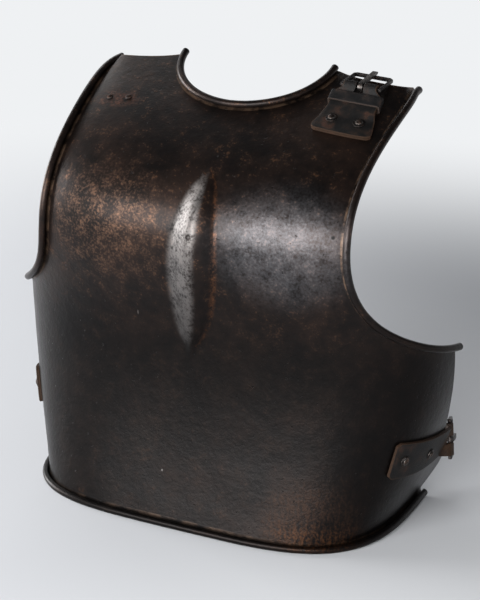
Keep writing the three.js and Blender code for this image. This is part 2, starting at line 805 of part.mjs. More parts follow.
// Left shoulder strap with its keeper and buckle
function shoulderSet() {
  const size = shoulder;
  const { length, slotLength } = size;
  const eyeOuter = eyeRadius + size.layer;
  const thick = 2 * size.layer;
  const barHeight = shoulderLift(length) + eyeOuter;
  const nose = (along) => smooth((along - size.taperStart) / (length - size.taperStart));
  const mix = (from, to, share) => from + (to - from) * share;
  const foldHalf = eyeOuter - foldStep;
  const under = (along) => mix(shoulderLift(along), barHeight - foldHalf, nose(along));
  const over = (along) => mix(shoulderLift(along) + thick, barHeight + foldHalf, nose(along));
  const halfWidthAt = (along) => {
    const tail = mix(size.startHalf, size.keeperHalf, Math.min(along / size.parallelStart, 1));
    const share = smooth((along - size.taperStart) / (size.taperEnd - size.taperStart));
    const short = Math.max(size.cornerRadius - along, 0) / size.cornerRadius;
    const corner = size.cornerRadius * (1 - Math.sqrt(1 - short * short));
    return mix(tail, size.barHalf, share) - corner;
  };
  let strap = strapBody(shoulderTrack, { length, under, over, halfWidthAt, barHeight, eyeOuter });
  strap = strap.subtract(slotBody(shoulderTrack, length, slotLength, barHeight, eyeOuter));
  [-1, 1].forEach((side) => {
    const name = side < 0 ? 'left_shoulder_inner' : 'left_shoulder_outer';
    const top = gap + thick;
    strap = rivetThrough(name, shoulderTrack, size.rivetAlong, side * size.rivetAcross, top, strap);
  });
  place('left_shoulder_strap', geometryOf(strap), strapLeather);
  place('left_shoulder_keeper', keeperGeometry(size.keeperHalf, thick), keeperLeatherLook);
  const { ahead, across } = shoulderAxes(length);
  ahead.applyAxisAngle(across, size.restAngle * degree);
  const basis = bucklePlane(shoulderTrack(length, 0, barHeight), across, ahead);
  buckle('left_shoulder', basis, size.frameHalf, size.frameLength);
}

// Leather loop round the strap
function keeperGeometry(strapHalf, thick) {
  const innerHalf = strapHalf + keeperPlay;
  const low = -keeperPlay;
  const high = thick + keeperPlay;
  const drawLoop = (path, halfWidth, bottom, top) => {
    const steps = acrossSteps;
    path.moveTo(-halfWidth, bottom);
    for (let i = 1; i <= steps; i += 1) path.lineTo(halfWidth * (2 * i / steps - 1), bottom);
    for (let i = 0; i <= steps; i += 1) path.lineTo(halfWidth * (1 - 2 * i / steps), top);
    path.closePath();
  };
  const shape = new THREE.Shape();
  drawLoop(shape, innerHalf + keeperLeather, low - keeperLeather, high + keeperLeather);
  const hole = new THREE.Path();
  drawLoop(hole, innerHalf, low, high);
  shape.holes.push(hole);
  const size = { depth: keeperLength, steps: acrossSteps, bevelEnabled: false };
  const band = new THREE.ExtrudeGeometry(shape, size);
  const position = band.attributes.position;
  for (let i = 0; i < position.count; i += 1) {
    const along = keeperStart + position.getZ(i);
    const point = shoulderTrack(along, position.getX(i), shoulderLift(along) + position.getY(i));
    position.setXYZ(i, point.x, point.y, point.z);
  }
  band.deleteAttribute('normal');
  band.deleteAttribute('uv');
  return outwardFacing(mergeVertices(band, probe / 100));
}

// Waist strap with its buckle, side 1 for the wearer's left and -1 for the right
function waistSet(side, start) {
  const prefix = side > 0 ? 'left_waist' : 'right_waist';
  const size = waist;
  const { track, barUp, barAlong } = waistTrack(side, start);
  const eyeOuter = eyeRadius + size.layer;
  const thick = 2 * size.layer;
  const nose = (along) => smooth((along - barAlong + 3 * eyeOuter) / (2 * eyeOuter));
  const mix = (from, to, share) => from + (to - from) * share;
  const foldHalf = eyeOuter - foldStep;
  const under = (along) => mix(gap, size.barHeight - foldHalf, nose(along));
  const over = (along) => mix(gap + thick, size.barHeight + foldHalf, nose(along));
  const halfWidthAt = (along) => {
    const short = Math.max(size.cornerRadius - along, 0) / size.cornerRadius;
    const corner = size.cornerRadius * (1 - Math.sqrt(1 - short * short));
    return mix(size.startHalf, size.barHalf, Math.min(along / barAlong, 1)) - corner;
  };
  const { barHeight, slotLength } = size;
  let strap = strapBody(track, { length: barAlong, under, over, halfWidthAt, barHeight, eyeOuter });
  strap = strap.subtract(slotBody(track, barAlong, slotLength, barHeight, eyeOuter));
  strap = rivetThrough(`${prefix}_front`, track, size.frontRivet, 0, gap + thick, strap);
  strap = rivetThrough(`${prefix}_rear`, track, size.rearRivet, 0, gap + thick, strap);
  place(`${prefix}_strap`, geometryOf(strap), strapLeather);
  const centre = track(barAlong, 0, barHeight);
  const ahead = track(barAlong + probe, 0, barHeight).sub(centre).normalize();
  ahead.applyAxisAngle(barUp, side * waistFrameSwing * degree);
  const direction = barUp.clone().multiplyScalar(-side);
  buckle(prefix, bucklePlane(centre, direction, ahead), size.frameHalf, size.frameLength);
}

// Old rivets of the lost right shoulder strap
function oldRivets() {
  oldRivetSpots.forEach(([x, z], i) => {
    const track = (along, across, off) => {
      const normal = outward(shoulderFace, x + across, z + along, probe, probe);
      return shoulderFace(x + across, z + along).addScaledVector(normal, off);
    };
    const basis = basisOn(track, 0, 0);
    const name = i === 0 ? 'right_shoulder_outer_rivet' : 'right_shoulder_inner_rivet';
    place(name, standing(rivetShape(gap), basis), rivetSteel);
    plateCuts.push(solid(standing(holeShape(-holeOverrun, holeOverrun), basis)));
  });
}

shoulderSet();
waistSet(1, leftWaistStart);
waistSet(-1, rightWaistStart);
oldRivets();

// The plate with its four rolled edges
const leftGrid = plateHalf(1, null);
const rightGrid = plateHalf(-1, leftGrid);
const sides = [[leftGrid, 1, 'left'], [rightGrid, -1, 'right']];

const rim = [...rightGrid[0].slice(1).reverse(), ...leftGrid[0]];
const rimInside = [...rightGrid[1].slice(1).reverse(), ...leftGrid[1]];
place('waist_edge_wire', wireAlong(rollEdge(rim, rimInside, true, false)), wireSteel);

const leftNeck = leftGrid.slice(neckRow).map((line) => line[0]);
const rightNeck = rightGrid.slice(neckRow + 1).map((line) => line[0]);
const leftNeckInside = leftGrid.slice(neckRow).map((line, i) => (i === 0 ? leftGrid[neckRow - 1][0] : line[1]));
const rightNeckInside = rightGrid.slice(neckRow + 1).map((line) => line[1]);
const neck = [...rightNeck.reverse(), ...leftNeck];
const neckInside = [...rightNeckInside.reverse(), ...leftNeckInside];
place('neck_edge_wire', wireAlong(rollEdge(neck, neckInside, false, true)), wireSteel);

sides.forEach(([grid, side, name]) => {
  const path = grid.slice(lowRows).map((line) => line[columns]);
  const inside = grid.slice(lowRows).map((line) => line[columns - 1]);
  place(`${name}_arm_edge_wire`, wireAlong(rollEdge(path, inside, false, side < 0)), wireSteel);
});

let plate = solid(thicken());
plateCuts.forEach((cut) => {
  plate = plate.subtract(cut);
});
place('breastplate', geometryOf(plate), steelDark);

// The pieces are drawn round the body's middle, so the whole stands back by the rim's reach
group.position.y = roll.centreUp - sheet * half - platePoint(0, wallBottom).y;

export default group;
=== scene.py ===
# %% [markdown]
# # The front plate of a cuirass
# The object is one dark steel plate, shaped to a chest, with rolled edges at the
# neck, the arms and the waist. Leather straps with iron buckles are riveted on at
# one shoulder and at both sides of the waist.
# The CAD model gives the solids and the joints. Here the plate gets its fine
# surface, the straps get their folded leather, and each finish gets its material.

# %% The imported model
import math
import bmesh
import bpy
from mathutils import Matrix, Vector, noise
from mathutils.kdtree import KDTree


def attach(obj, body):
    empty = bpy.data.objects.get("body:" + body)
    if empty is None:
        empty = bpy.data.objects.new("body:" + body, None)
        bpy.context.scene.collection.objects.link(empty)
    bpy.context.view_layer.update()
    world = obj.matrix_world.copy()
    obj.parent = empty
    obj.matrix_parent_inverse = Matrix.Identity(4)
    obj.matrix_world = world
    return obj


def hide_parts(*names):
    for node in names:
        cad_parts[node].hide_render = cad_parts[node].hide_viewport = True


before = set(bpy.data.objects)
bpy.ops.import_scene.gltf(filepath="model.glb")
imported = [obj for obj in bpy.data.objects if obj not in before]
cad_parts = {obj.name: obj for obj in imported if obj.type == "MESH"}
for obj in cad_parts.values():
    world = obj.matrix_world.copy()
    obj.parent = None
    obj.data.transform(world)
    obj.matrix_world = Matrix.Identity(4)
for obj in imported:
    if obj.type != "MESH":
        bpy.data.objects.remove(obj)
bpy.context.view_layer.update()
print("CAD nodes:", len(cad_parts))

# %% [markdown]
# ## The camera
# The camera stands where the photographer stood: a little to the wearer's left and
# somewhat above. It is set first, because every other choice is compared through it.
# A long lens keeps the plate's sides from spreading.

# %% Camera
camera_turn = math.radians(24.82)
camera_rise = math.radians(20.02)
camera_roll = math.radians(1.01)
camera_distance = 1.58
camera_target = Vector((-0.02078, 0.17865, 0.16119))
camera_lens = 96.98
camera_reach = 50


def direction(turn, rise):
    """From the plate towards a place at a turn from its front and a rise, in radians."""
    return Vector((
        math.sin(turn) * math.cos(rise), -math.cos(turn) * math.cos(rise), math.sin(rise)))


def standing(place, x_axis, y_axis, z_axis):
    """The matrix of something that stands at a place with the given axes."""
    return Matrix.Translation(place) @ Matrix((x_axis, y_axis, z_axis)).transposed().to_4x4()


def added(name, data):
    """A new object in the scene that holds the given data."""
    made = bpy.data.objects.new(name, data)
    bpy.context.scene.collection.objects.link(made)
    return made


towards = direction(camera_turn, camera_rise)
level = Vector((math.cos(camera_turn), math.sin(camera_turn), 0))
above = towards.cross(level)
right = level * math.cos(camera_roll) + above * math.sin(camera_roll)
upward = above * math.cos(camera_roll) - level * math.sin(camera_roll)

camera_data = bpy.data.cameras.new("camera")
camera_data.lens = camera_lens
camera_data.clip_end = camera_reach
camera = added("camera", camera_data)
camera.matrix_world = standing(camera_target + towards * camera_distance, right, upward, towards)
bpy.context.scene.camera = camera
print("camera at", [round(v, 3) for v in camera.matrix_world.translation])

# %% [markdown]
# ## The plate's form
# A plate like this has level sections between a circle and a box, so each level is a
# superellipse: its width, depth and squareness change with the height along smooth
# curves. The same numbers shape the CAD solid, so the fine plate lies where that is.
# One function gives the surface point at a turn angle and a height.

# %% Sizes of the plate, in metres
plate_height = 0.4
sheet = 0.0016
gap = 0.0003
probe = 0.0001

width_shares = [0, 0.3, 0.6, 1]
half_widths = [0.175, 0.212, 0.210, 0.140]
depth_shares = [0, 0.28, 0.52, 0.7, 0.85, 1]
depths = [0.177, 0.1515, 0.155, 0.166, 0.124, 0.011]
square_shares = [0, 0.5, 1]
squareness = [4, 3.1, 5.5]


def curve_through(places, values):
    """Natural cubic curve through values at the given places."""
    last = len(places) - 1
    bend = [0.0] * len(places)
    upper = [0.0] * len(places)
    for i in range(1, last):
        before = places[i] - places[i - 1]
        after = places[i + 1] - places[i]
        rise = (values[i + 1] - values[i]) / after - (values[i] - values[i - 1]) / before
        pivot = 2 * (before + after) - before * upper[i - 1]
        upper[i] = after / pivot
        bend[i] = (6 * rise - before * bend[i - 1]) / pivot
    for i in range(last - 1, 0, -1):
        bend[i] -= upper[i] * bend[i + 1]

    def value(place):
        i = 0
        while i < last - 1 and place > places[i + 1]:
            i += 1
        span = places[i + 1] - places[i]
        a = (places[i + 1] - place) / span
        b = (place - places[i]) / span
        curved = ((a ** 3 - a) * bend[i] + (b ** 3 - b) * bend[i + 1]) * span * span / 6
        return a * values[i] + b * values[i + 1] + curved

    return value


def smooth(share):
    s = min(max(share, 0), 1)
    return s * s * (3 - 2 * s)


def mix(a, b, share):
    return a + (b - a) * share


width_curve = curve_through(width_shares, half_widths)
depth_curve = curve_through(depth_shares, depths)
square_curve = curve_through(square_shares, squareness)
print("half width at the waist", round(width_curve(0.1), 4))

# %% [markdown]
# ## The keel
# A long lens-shaped swelling stands on the middle of the chest. It was beaten out
# from inside, so it rises softly on one side and falls steeply on the other.
# It is a rise added to the plain surface, so no seam shows round it.

# %% Keel
ridge_low = 0.168
ridge_high = 0.328
ridge_offset = 0.006
ridge_lean = 0.006
ridge_half_width = 0.024
ridge_rise = 0.011
ridge_crest_share = 0.2
ridge_end_power = 0.5


def keel_place(x, z):
    """Where a point lies across the keel, -1 to 1 at its feet, and how full it is there."""
    along = (z - (ridge_low + ridge_high) / 2) / ((ridge_high - ridge_low) / 2)
    if abs(along) >= 1:
        return 2, 0
    fullness = (1 - along * along) ** ridge_end_power
    return (x - ridge_offset - ridge_lean * along) / (ridge_half_width * fullness), fullness


def keel(x, z):
    across, fullness = keel_place(x, z)
    if abs(across) >= 1:
        return 0
    left = (across + 1) / (1 + ridge_crest_share)
    right_part = (1 - across) / (1 - ridge_crest_share)
    falling = smooth((1 + right_part) / 2) * 2 - 1
    profile = smooth(left) if across < ridge_crest_share else falling
    return ridge_rise * fullness * max(profile, 0)


# %% Surface of the plate
def body_point(angle, z):
    """Outer face, drawn round the middle of the body."""
    share = z / plate_height
    power = square_curve(share)
    sine = math.sin(angle)
    cosine = math.cos(angle)
    reach = (abs(sine) ** power + abs(cosine) ** power) ** (-1 / power)
    x = width_curve(share) * reach * sine
    y = -depth_curve(share) * reach * cosine
    return Vector((x, y - keel(x, z) if cosine > 0 else y, z))


def angle_at(x, z):
    share = z / plate_height
    power = square_curve(share)
    across = min(abs(x) / width_curve(share), 1)
    return math.copysign(math.atan2(across, (1 - across ** power) ** (1 / power)), x)


def side_reach(y, z):
    share = z / plate_height
    power = square_curve(share)
    back = min(abs(y) / depth_curve(share), 1)
    return width_curve(share) * (1 - back ** power) ** (1 / power)


def outward(point, a, b, step_a, step_b):
    """Outward direction of a face given by two running values."""
    across = point(a + step_a, b) - point(a - step_a, b)
    rise = point(a, b + step_b) - point(a, b - step_b)
    return across.cross(rise).normalized()


angle_probe = probe / half_widths[0]


def body_normal(angle, z):
    return outward(body_point, angle, z, angle_probe, probe)


print("front of the chest", [round(v, 4) for v in body_point(0, 0.2)])

# %% [markdown]
# ## The plate's outline
# The neck opening is a wide arch. The arm openings run in a long curve from the cut
# side edge to the shoulder. The side edges bulge back behind the rolled rim.
# Rows of the plate run between the middle line and this outline.

# %% Outline of the plate
neck_half_width = 0.079
neck_bottom = 0.369
neck_roundness = 1.93
side_top = 0.170
rim_end_angle = 86.8
side_top_angle = 71.3
side_heights = [0.016, 0.034, 0.060, 0.100]
side_angles = [99, 94, 85, 78]
arm_angles = [side_top_angle, 65, 43, 38.4, 52, 84.3, 90]
arm_heights = [side_top, 0.1735, 0.207, 0.289, 0.374, 0.3902, 0.3905]
arm_turn_length = 0.160
shoulder_dip = 0.0035
shoulder_dip_power = 8

flare_radius = 0.008
flare_angle = math.radians(50)
wire_radius = 0.0015
roll_radius = wire_radius + gap + sheet / 2
roll_angle = math.radians(240)
half_facet = math.radians(40 / 3)
facet_reach = math.cos(half_facet)
wall_bottom = (flare_radius - roll_radius) * math.sin(flare_angle) + (
    roll_radius + sheet / 2) * facet_reach

side_edge_angle = curve_through(
    [wall_bottom, *side_heights, side_top],
    [math.radians(a) for a in (rim_end_angle, *side_angles, side_top_angle)])

arm_places = [0]
for i in range(1, len(arm_angles)):
    turned = math.radians(arm_angles[i] - arm_angles[i - 1]) * arm_turn_length
    arm_places.append(arm_places[-1] + math.hypot(turned, arm_heights[i] - arm_heights[i - 1]))
arm_angle_curve = curve_through(arm_places, [math.radians(a) for a in arm_angles])
arm_height_curve = curve_through(arm_places, arm_heights)


def arm_edge(share):
    return arm_angle_curve(share * arm_places[-1]), arm_height_curve(share * arm_places[-1])


def neck_edge(share):
    turn = share * math.pi / 2
    x = neck_half_width * math.sin(turn) ** (2 / neck_roundness)
    dip = max(math.cos(turn), 0) ** (2 / neck_roundness)
    z = plate_height - (plate_height - neck_bottom) * dip
    return angle_at(x, z), z


print("length of an arm opening", round(arm_places[-1], 3))

# %% Rows between the middle line and the outline
low_rows = 8
low_row_power = 1.6
middle_rows = 13
high_rows = 8
neck_row = low_rows + middle_rows
all_rows = neck_row + high_rows
arm_split_share = 0.62


def low_height(row):
    return wall_bottom + (side_top - wall_bottom) * (row / low_rows) ** low_row_power


def inner_side(row):
    if row <= low_rows:
        return 0, low_height(row)
    if row <= neck_row:
        return 0, mix(side_top, neck_bottom, (row - low_rows) / middle_rows)
    return neck_edge((row - neck_row) / high_rows)


def outer_side(row):
    if row <= low_rows:
        return side_edge_angle(low_height(row)), low_height(row)
    if row <= neck_row:
        return arm_edge(arm_split_share * (row - low_rows) / middle_rows)
    return arm_edge(mix(arm_split_share, 1, (row - neck_row) / high_rows))


stand_back = (
    flare_radius * (1 - math.cos(flare_angle)) + roll_radius * math.cos(flare_angle)
    - sheet / 2 - body_point(0, wall_bottom).y)
print("the body's middle stands back by", round(stand_back, 5))

# %% [markdown]
# ## The fine plate
# The plate starts as one flat grid. Each corner of it is carried to its place on the
# surface, a smith's slow hammer marks are added, and the two shoulders are extruded
# from its top row, so that the neck opening stays open between them.
# A sculpted mesh would look as rough, but it could not follow the CAD solid so
# closely.

# %% Placing one point of the plate
fineness = 4
columns = 76
column_power = 1.3
dent_height = 0.00022
dent_size = 0.03
ripple_height = 0.00006
ripple_size = 0.009


def hammered(point):
    dents = noise.noise(point / dent_size) * dent_height
    ripples = noise.noise(point / ripple_size) * ripple_height
    return dents + ripples


def plate_place(side, row, share):
    """Middle of the sheet and its outward direction."""
    inner_angle, inner_height = inner_side(row)
    outer_angle, outer_height = outer_side(row)
    angle = side * mix(inner_angle, outer_angle, share)
    top = max(row - all_rows + 1, 0)
    dip = shoulder_dip * (1 - share) * (1 - (1 - share) ** shoulder_dip_power) * top
    z = mix(inner_height, outer_height, share) - dip
    normal = body_normal(angle, z)
    if row == 0:
        normal.z = 0
        normal.normalize()
    point = body_point(angle, z)
    point += normal * (hammered(point) - sheet / 2)
    point.y += stand_back
    return point, normal


# %% The grid and the shoulders
plate = bmesh.new()
lower_rows = neck_row * fineness
bmesh.ops.create_grid(plate, x_segments=2 * columns, y_segments=lower_rows, size=1)
plate.verts.ensure_lookup_table()
by_place = sorted(plate.verts, key=lambda v: (round(v.co.y, 5), round(v.co.x, 5)))
across_count = 2 * columns + 1
print("grid corners", len(by_place), "expected", across_count * (lower_rows + 1))

facing = {}
rolled = {}
grid = []
for row in range(lower_rows + 1):
    line = by_place[row * across_count:(row + 1) * across_count]
    for i, vert in enumerate(line):
        side = -1 if i < columns else 1
        share = (abs(i - columns) / columns) ** column_power
        vert.co, facing[vert] = plate_place(side, row / fineness, share)
    grid.append(line)


def extruded_line(line):
    """One more row of corners, pulled out of a row's edges; gives them in the same order."""
    edges = [e for a, b in zip(line, line[1:]) for e in a.link_edges if e.other_vert(a) is b]
    made = bmesh.ops.extrude_edge_only(plate, edges=edges)
    new = {v for v in made["geom"] if isinstance(v, bmesh.types.BMVert)}
    return [next(e.other_vert(v) for e in v.link_edges if e.other_vert(v) in new) for v in line]


shoulders = {}
for side in (-1, 1):
    middle = grid[-1][columns]
    line = [middle, *(grid[-1][columns + side * i] for i in range(1, columns + 1))]
    shoulders[side] = []
    for step in range(1, high_rows * fineness + 1):
        line = extruded_line(line)
        for i, vert in enumerate(line):
            row = neck_row + step / fineness
            vert.co, facing[vert] = plate_place(side, row, (i / columns) ** column_power)
        shoulders[side].append(line)
print("plate faces", len(plate.faces))

# %% [markdown]
# ## The rolled edges
# The smith turned each edge outwards and rolled it round an iron wire. An edge is made
# the same way here: its border is extruded again and again, first along a wide turn
# and then round the wire. A bevel or a tube laid on the edge would miss the groove
# where the rolled sheet meets the plate.

# %% Rolling an edge
flare_steps = 5
roll_steps = 22


def roll_profile():
    """Steps of the roll: how far out, how far raised and how far turned."""
    steps = []
    for i in range(1, flare_steps + 1):
        turn = flare_angle * i / flare_steps
        steps.append((flare_radius * math.sin(turn), flare_radius * (1 - math.cos(turn)), turn))
    out, up, turn = steps[-1]
    centre_out = out - roll_radius * math.sin(turn)
    centre_up = up + roll_radius * math.cos(turn)
    for i in range(1, roll_steps + 1):
        turn = flare_angle + roll_angle * i / roll_steps
        steps.append((
            centre_out + roll_radius * math.sin(turn),
            centre_up - roll_radius * math.cos(turn), turn))
    return steps


def roll_edge(path, inside, is_level):
    """Rolls the sheet along a path; inside is the next path, and a level roll goes down."""
    starts = []
    for i, vert in enumerate(path):
        run = (path[min(i + 1, len(path) - 1)].co - path[max(i - 1, 0)].co).normalized()
        away = Vector((0, 0, -1)) if is_level else run.cross(facing[vert]).normalized()
        if not is_level and away.dot(inside[i].co - vert.co) > 0:
            away.negate()
        starts.append((vert.co.copy(), away, facing[vert]))
    line = path
    for out, up, turn in roll_profile():
        line = extruded_line(line)
        for vert, (start, away, normal) in zip(line, starts):
            vert.co = start + away * out + normal * up
            rolled[vert] = turn


def arm_line(side, step):
    """Corners up one arm opening, a number of steps in from its edge."""
    column = columns + side * (columns - step)
    low = [line[column] for line in grid[low_rows * fineness:]]
    return low + [line[-1 - step] for line in shoulders[side]]


def neck_line(step):
    """Corners along the neck opening, a number of steps in from its edge."""
    right_half = [line[step] for line in reversed(shoulders[-1])]
    return right_half + [grid[-1 - step][columns]] + [line[step] for line in shoulders[1]]


border = [v.co.copy() for v in plate.verts if v.is_boundary]
roll_edge(grid[0], grid[1], True)
for side in (-1, 1):
    roll_edge(arm_line(side, 0), arm_line(side, 1), False)
roll_edge(neck_line(0), neck_line(1), False)
print("plate faces with rolls", len(plate.faces))

# %% [markdown]
# ## From a mesh to a piece
# Each piece is finished in the same way: modifiers give it its wall and its soft
# edges, they are applied, and edges sharper than a limit are kept crisp.
# The piece then rides on its CAD body and stands for its CAD node.

# %% Finishing a piece
sharp_limit = math.radians(38)
soft_steps = 2
weld_distance = 1e-6


def finished(name, mesh, body, nodes, wall=0, soft=0, values=None, sides=1):
    """A piece from a bmesh; values give named numbers for each of its corners.

    With two sides, the inner face of the wall gets a finish of its own.
    """
    data = bpy.data.meshes.new(name)
    kept = {key: [value(v) for v in mesh.verts] for key, value in (values or {}).items()}
    for key, numbers in kept.items():
        store = mesh.verts.layers.float.new(key)
        for vert, number in zip(mesh.verts, numbers):
            vert[store] = number
    bmesh.ops.recalc_face_normals(mesh, faces=mesh.faces)
    mesh.to_mesh(data)
    mesh.free()
    piece = added(name, data)
    for _ in range(sides):
        data.materials.append(None)
    if wall:
        shell = piece.modifiers.new("wall", "SOLIDIFY")
        shell.material_offset = sides - 1
        shell.thickness = wall
        shell.offset = 0
        shell.use_even_offset = True
    if soft:
        edges = piece.modifiers.new("soft edges", "BEVEL")
        edges.width = soft
        edges.segments = soft_steps
        edges.limit_method = "ANGLE"
        edges.angle_limit = sharp_limit
    if wall or soft:
        graph = bpy.context.evaluated_depsgraph_get()
        applied = bpy.data.meshes.new_from_object(piece.evaluated_get(graph))
        piece.modifiers.clear()
        piece.data = applied
        applied.name = name
    piece.data.shade_smooth()
    piece.data.set_sharp_from_angle(angle=sharp_limit)
    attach(piece, body)
    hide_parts(*nodes)
    print(name, "faces", len(piece.data.polygons))
    return piece


# %% The plate as a piece
edge_tree = KDTree(len(border))
for i, place in enumerate(border):
    edge_tree.insert(place, i)
edge_tree.balance()


def edge_distance(vert):
    return edge_tree.find(vert.co)[2] if vert in facing else -rolled[vert] * roll_radius


def keel_value(vert):
    across, fullness = keel_place(vert.co.x, vert.co.z)
    if not fullness or vert not in facing:
        return math.copysign(2, vert.co.x - ridge_offset)
    return max(min(across, 2), -2)


plate_piece = finished(
    "hammered_front_plate", plate, "front_plate", ["breastplate"], wall=sheet,
    values={"edge_distance": edge_distance, "keel_across": keel_value}, sides=2)

# %% [markdown]
# ## Where the straps run
# A strap follows the plate where it is riveted and then goes its own way: the
# shoulder strap rises towards its buckle, and a waist strap bends past the side edge.
# Each track turns a place along the strap, across it and off the plate into a point.

# %% Shoulder track
shoulder_centre = 0.1098
shoulder_start_height = 0.361
shoulder_lean = 0.09
shoulder_length = 0.054
shoulder_start_half = 0.028
keeper_half = 0.0223
shoulder_bar_half = 0.0155
shoulder_layer = 0.0022
lift_start = 0.017
lift_full = 0.023
lift_slope = 0.2
parallel_start = 0.030
taper_start = 0.046
taper_end = 0.051
shoulder_slot = 0.011
shoulder_corner = 0.004
track_steps = 120


def run_along(guide, start, end):
    """Gives the guide's running value at a length along it, and the guide's whole length."""
    places = []
    length = 0
    previous = guide(start)
    for i in range(track_steps + 1):
        value = mix(start, end, i / track_steps)
        point = guide(value)
        length += (point - previous).length
        places.append((length, value))
        previous = point

    def value_at(along):
        i = 1
        while i < track_steps and places[i][0] < along:
            i += 1
        (length_a, value_a), (length_b, value_b) = places[i - 1], places[i]
        return value_a + (value_b - value_a) * (along - length_a) / (length_b - length_a)

    return value_at, length


def shoulder_face(x, z):
    return body_point(angle_at(x, z), z)


def shoulder_guide(z):
    return shoulder_face(shoulder_centre + shoulder_lean * (z - shoulder_start_height), z)


shoulder_run, _ = run_along(shoulder_guide, shoulder_start_height, plate_height)


def shoulder_axes(along):
    z = shoulder_run(along)
    centre = shoulder_guide(z)
    ahead = (shoulder_guide(z + probe) - shoulder_guide(z - probe)).normalized()
    across = ahead.cross(outward(shoulder_face, centre.x, z, probe, probe)).normalized()
    return centre, ahead, across


bar_across = shoulder_axes(shoulder_length)[2]


def shoulder_track(along, across, off):
    centre, ahead, sideways = shoulder_axes(along)
    x = centre.x + sideways.x * across
    z = centre.z + sideways.z * across
    straight = smooth((along - lift_start) / (parallel_start - lift_start))
    point = shoulder_face(x, z).lerp(centre + bar_across * across, straight)
    normal = outward(shoulder_face, x, z, probe, probe).lerp(bar_across.cross(ahead), straight)
    point += normal.normalized() * off
    point.y += stand_back
    return point


def shoulder_lift(along):
    soft = min(max(along - lift_start, 0), lift_full - lift_start)
    steady = max(along - lift_full, 0)
    return gap + lift_slope * (soft * soft / 2 / (lift_full - lift_start) + steady)


print("shoulder bar near", [round(v, 4) for v in shoulder_track(shoulder_length, 0, 0.01)])

# %% Waist tracks
waist_layer = 0.0017
waist_start_half = 0.018
waist_bar_half = 0.015
waist_slope = -0.17
waist_start_height = 0.0795
bend_radius = 0.012
bend_angle = math.radians(15)
twist_angle = math.radians(28)
twist_length = 0.008
past_edge = 0.0125
waist_bar_height = 0.002
waist_slot = 0.009
waist_corner = 0.003
waist_starts = {"left": (1, -0.111), "right": (-1, -0.106)}


def side_edge_depth(z):
    return body_point(side_edge_angle(z), z).y


def waist_track(side, start):
    def face(y, z):
        return Vector((side * side_reach(y, z), y, z))

    def height(y):
        return waist_start_height + waist_slope * (y - start)

    def on_run(y):
        return face(y, height(y))

    def facing_out(y, z):
        return outward(face, y, z, probe, probe) * side

    edge_depth = side_edge_depth(height(side_edge_depth(height(0))))
    run, bend_start = run_along(on_run, start, edge_depth)
    origin = on_run(edge_depth)
    normal = facing_out(edge_depth, height(edge_depth))
    ahead = (on_run(edge_depth) - on_run(edge_depth - probe)).normalized()
    up = (normal.cross(ahead) * side).normalized()

    def track(along, across, off):
        if along <= bend_start:
            y = run(along) + up.y * across
            z = height(run(along)) + up.z * across
            point = face(y, z) + facing_out(y, z) * off
            point.y += stand_back
            return point
        turned = min((along - bend_start) / bend_radius, bend_angle)
        straight = along - bend_start - turned * bend_radius
        point = origin + ahead * (bend_radius * math.sin(turned) + straight * math.cos(turned))
        point += normal * (bend_radius * (1 - math.cos(turned)) + straight * math.sin(turned))
        onward = ahead * math.cos(turned) + normal * math.sin(turned)
        twist = -side * twist_angle * smooth((along - bend_start) / twist_length)
        above_it = Matrix.Rotation(twist, 3, onward) @ up
        aside = onward.cross(above_it) * side
        point += above_it * across + aside * off
        point.y += stand_back
        return point

    return track, bend_start + past_edge


waist_tracks = {name: waist_track(*values) for name, values in waist_starts.items()}
for name, (track, length) in waist_tracks.items():
    print(name, "waist strap length", round(length, 4))

# %% [markdown]
# ## Folded straps
# Each strap end is one strip of leather folded back round the buckle's bar and
# riveted through both layers. So the piece is one long strip: a grid is laid out
# along the top layer, round the bar and back under it, a slot is cut for the prong,
# and a wall gives the leather its thickness. The joint between the layers then shows
# at the edges, as it does on the real strap.

# %% Making a folded strap
bar_radius = 0.00175
eye_play = 0.00035
eye_radius = bar_radius + eye_play
prong_half = 0.0022
prong_play = 0.0012
slot_half = prong_half + prong_play
run_steps = 26
slot_steps = 8
fold_steps = 10
across_lines = 7
leather_share = 0.96
pebble_height = 0.00012
pebble_size = 0.004
leather_edge = 0.0004
tail_border = 0.0002


def strap_width(size, along):
    short = max(size["corner"] - along, 0) / size["corner"]
    cut = size["corner"] * (1 - math.sqrt(1 - short * short))
    return size["half_width"](along) - cut


def strap_stations(size):
    """Places along and off the plate, from the tail round the bar and back to the tail."""
    length, slot, layer = size["length"], size["slot"], size["layer"]
    alongs = [(length - slot) * i / run_steps for i in range(run_steps)]
    alongs += [length - slot + slot * i / slot_steps for i in range(slot_steps)]
    top = [(a, size["over"](a) - layer / 2) for a in alongs]
    low = [(a, size["under"](a) + layer / 2) for a in alongs]
    reach = size["eye_outer"] - layer / 2
    fold = []
    for i in range(fold_steps + 1):
        turn = math.pi * (0.5 - i / fold_steps)
        fold.append((
            length + reach * math.cos(turn), size["bar_height"] + reach * math.sin(turn)))
    return top + fold + low[::-1]


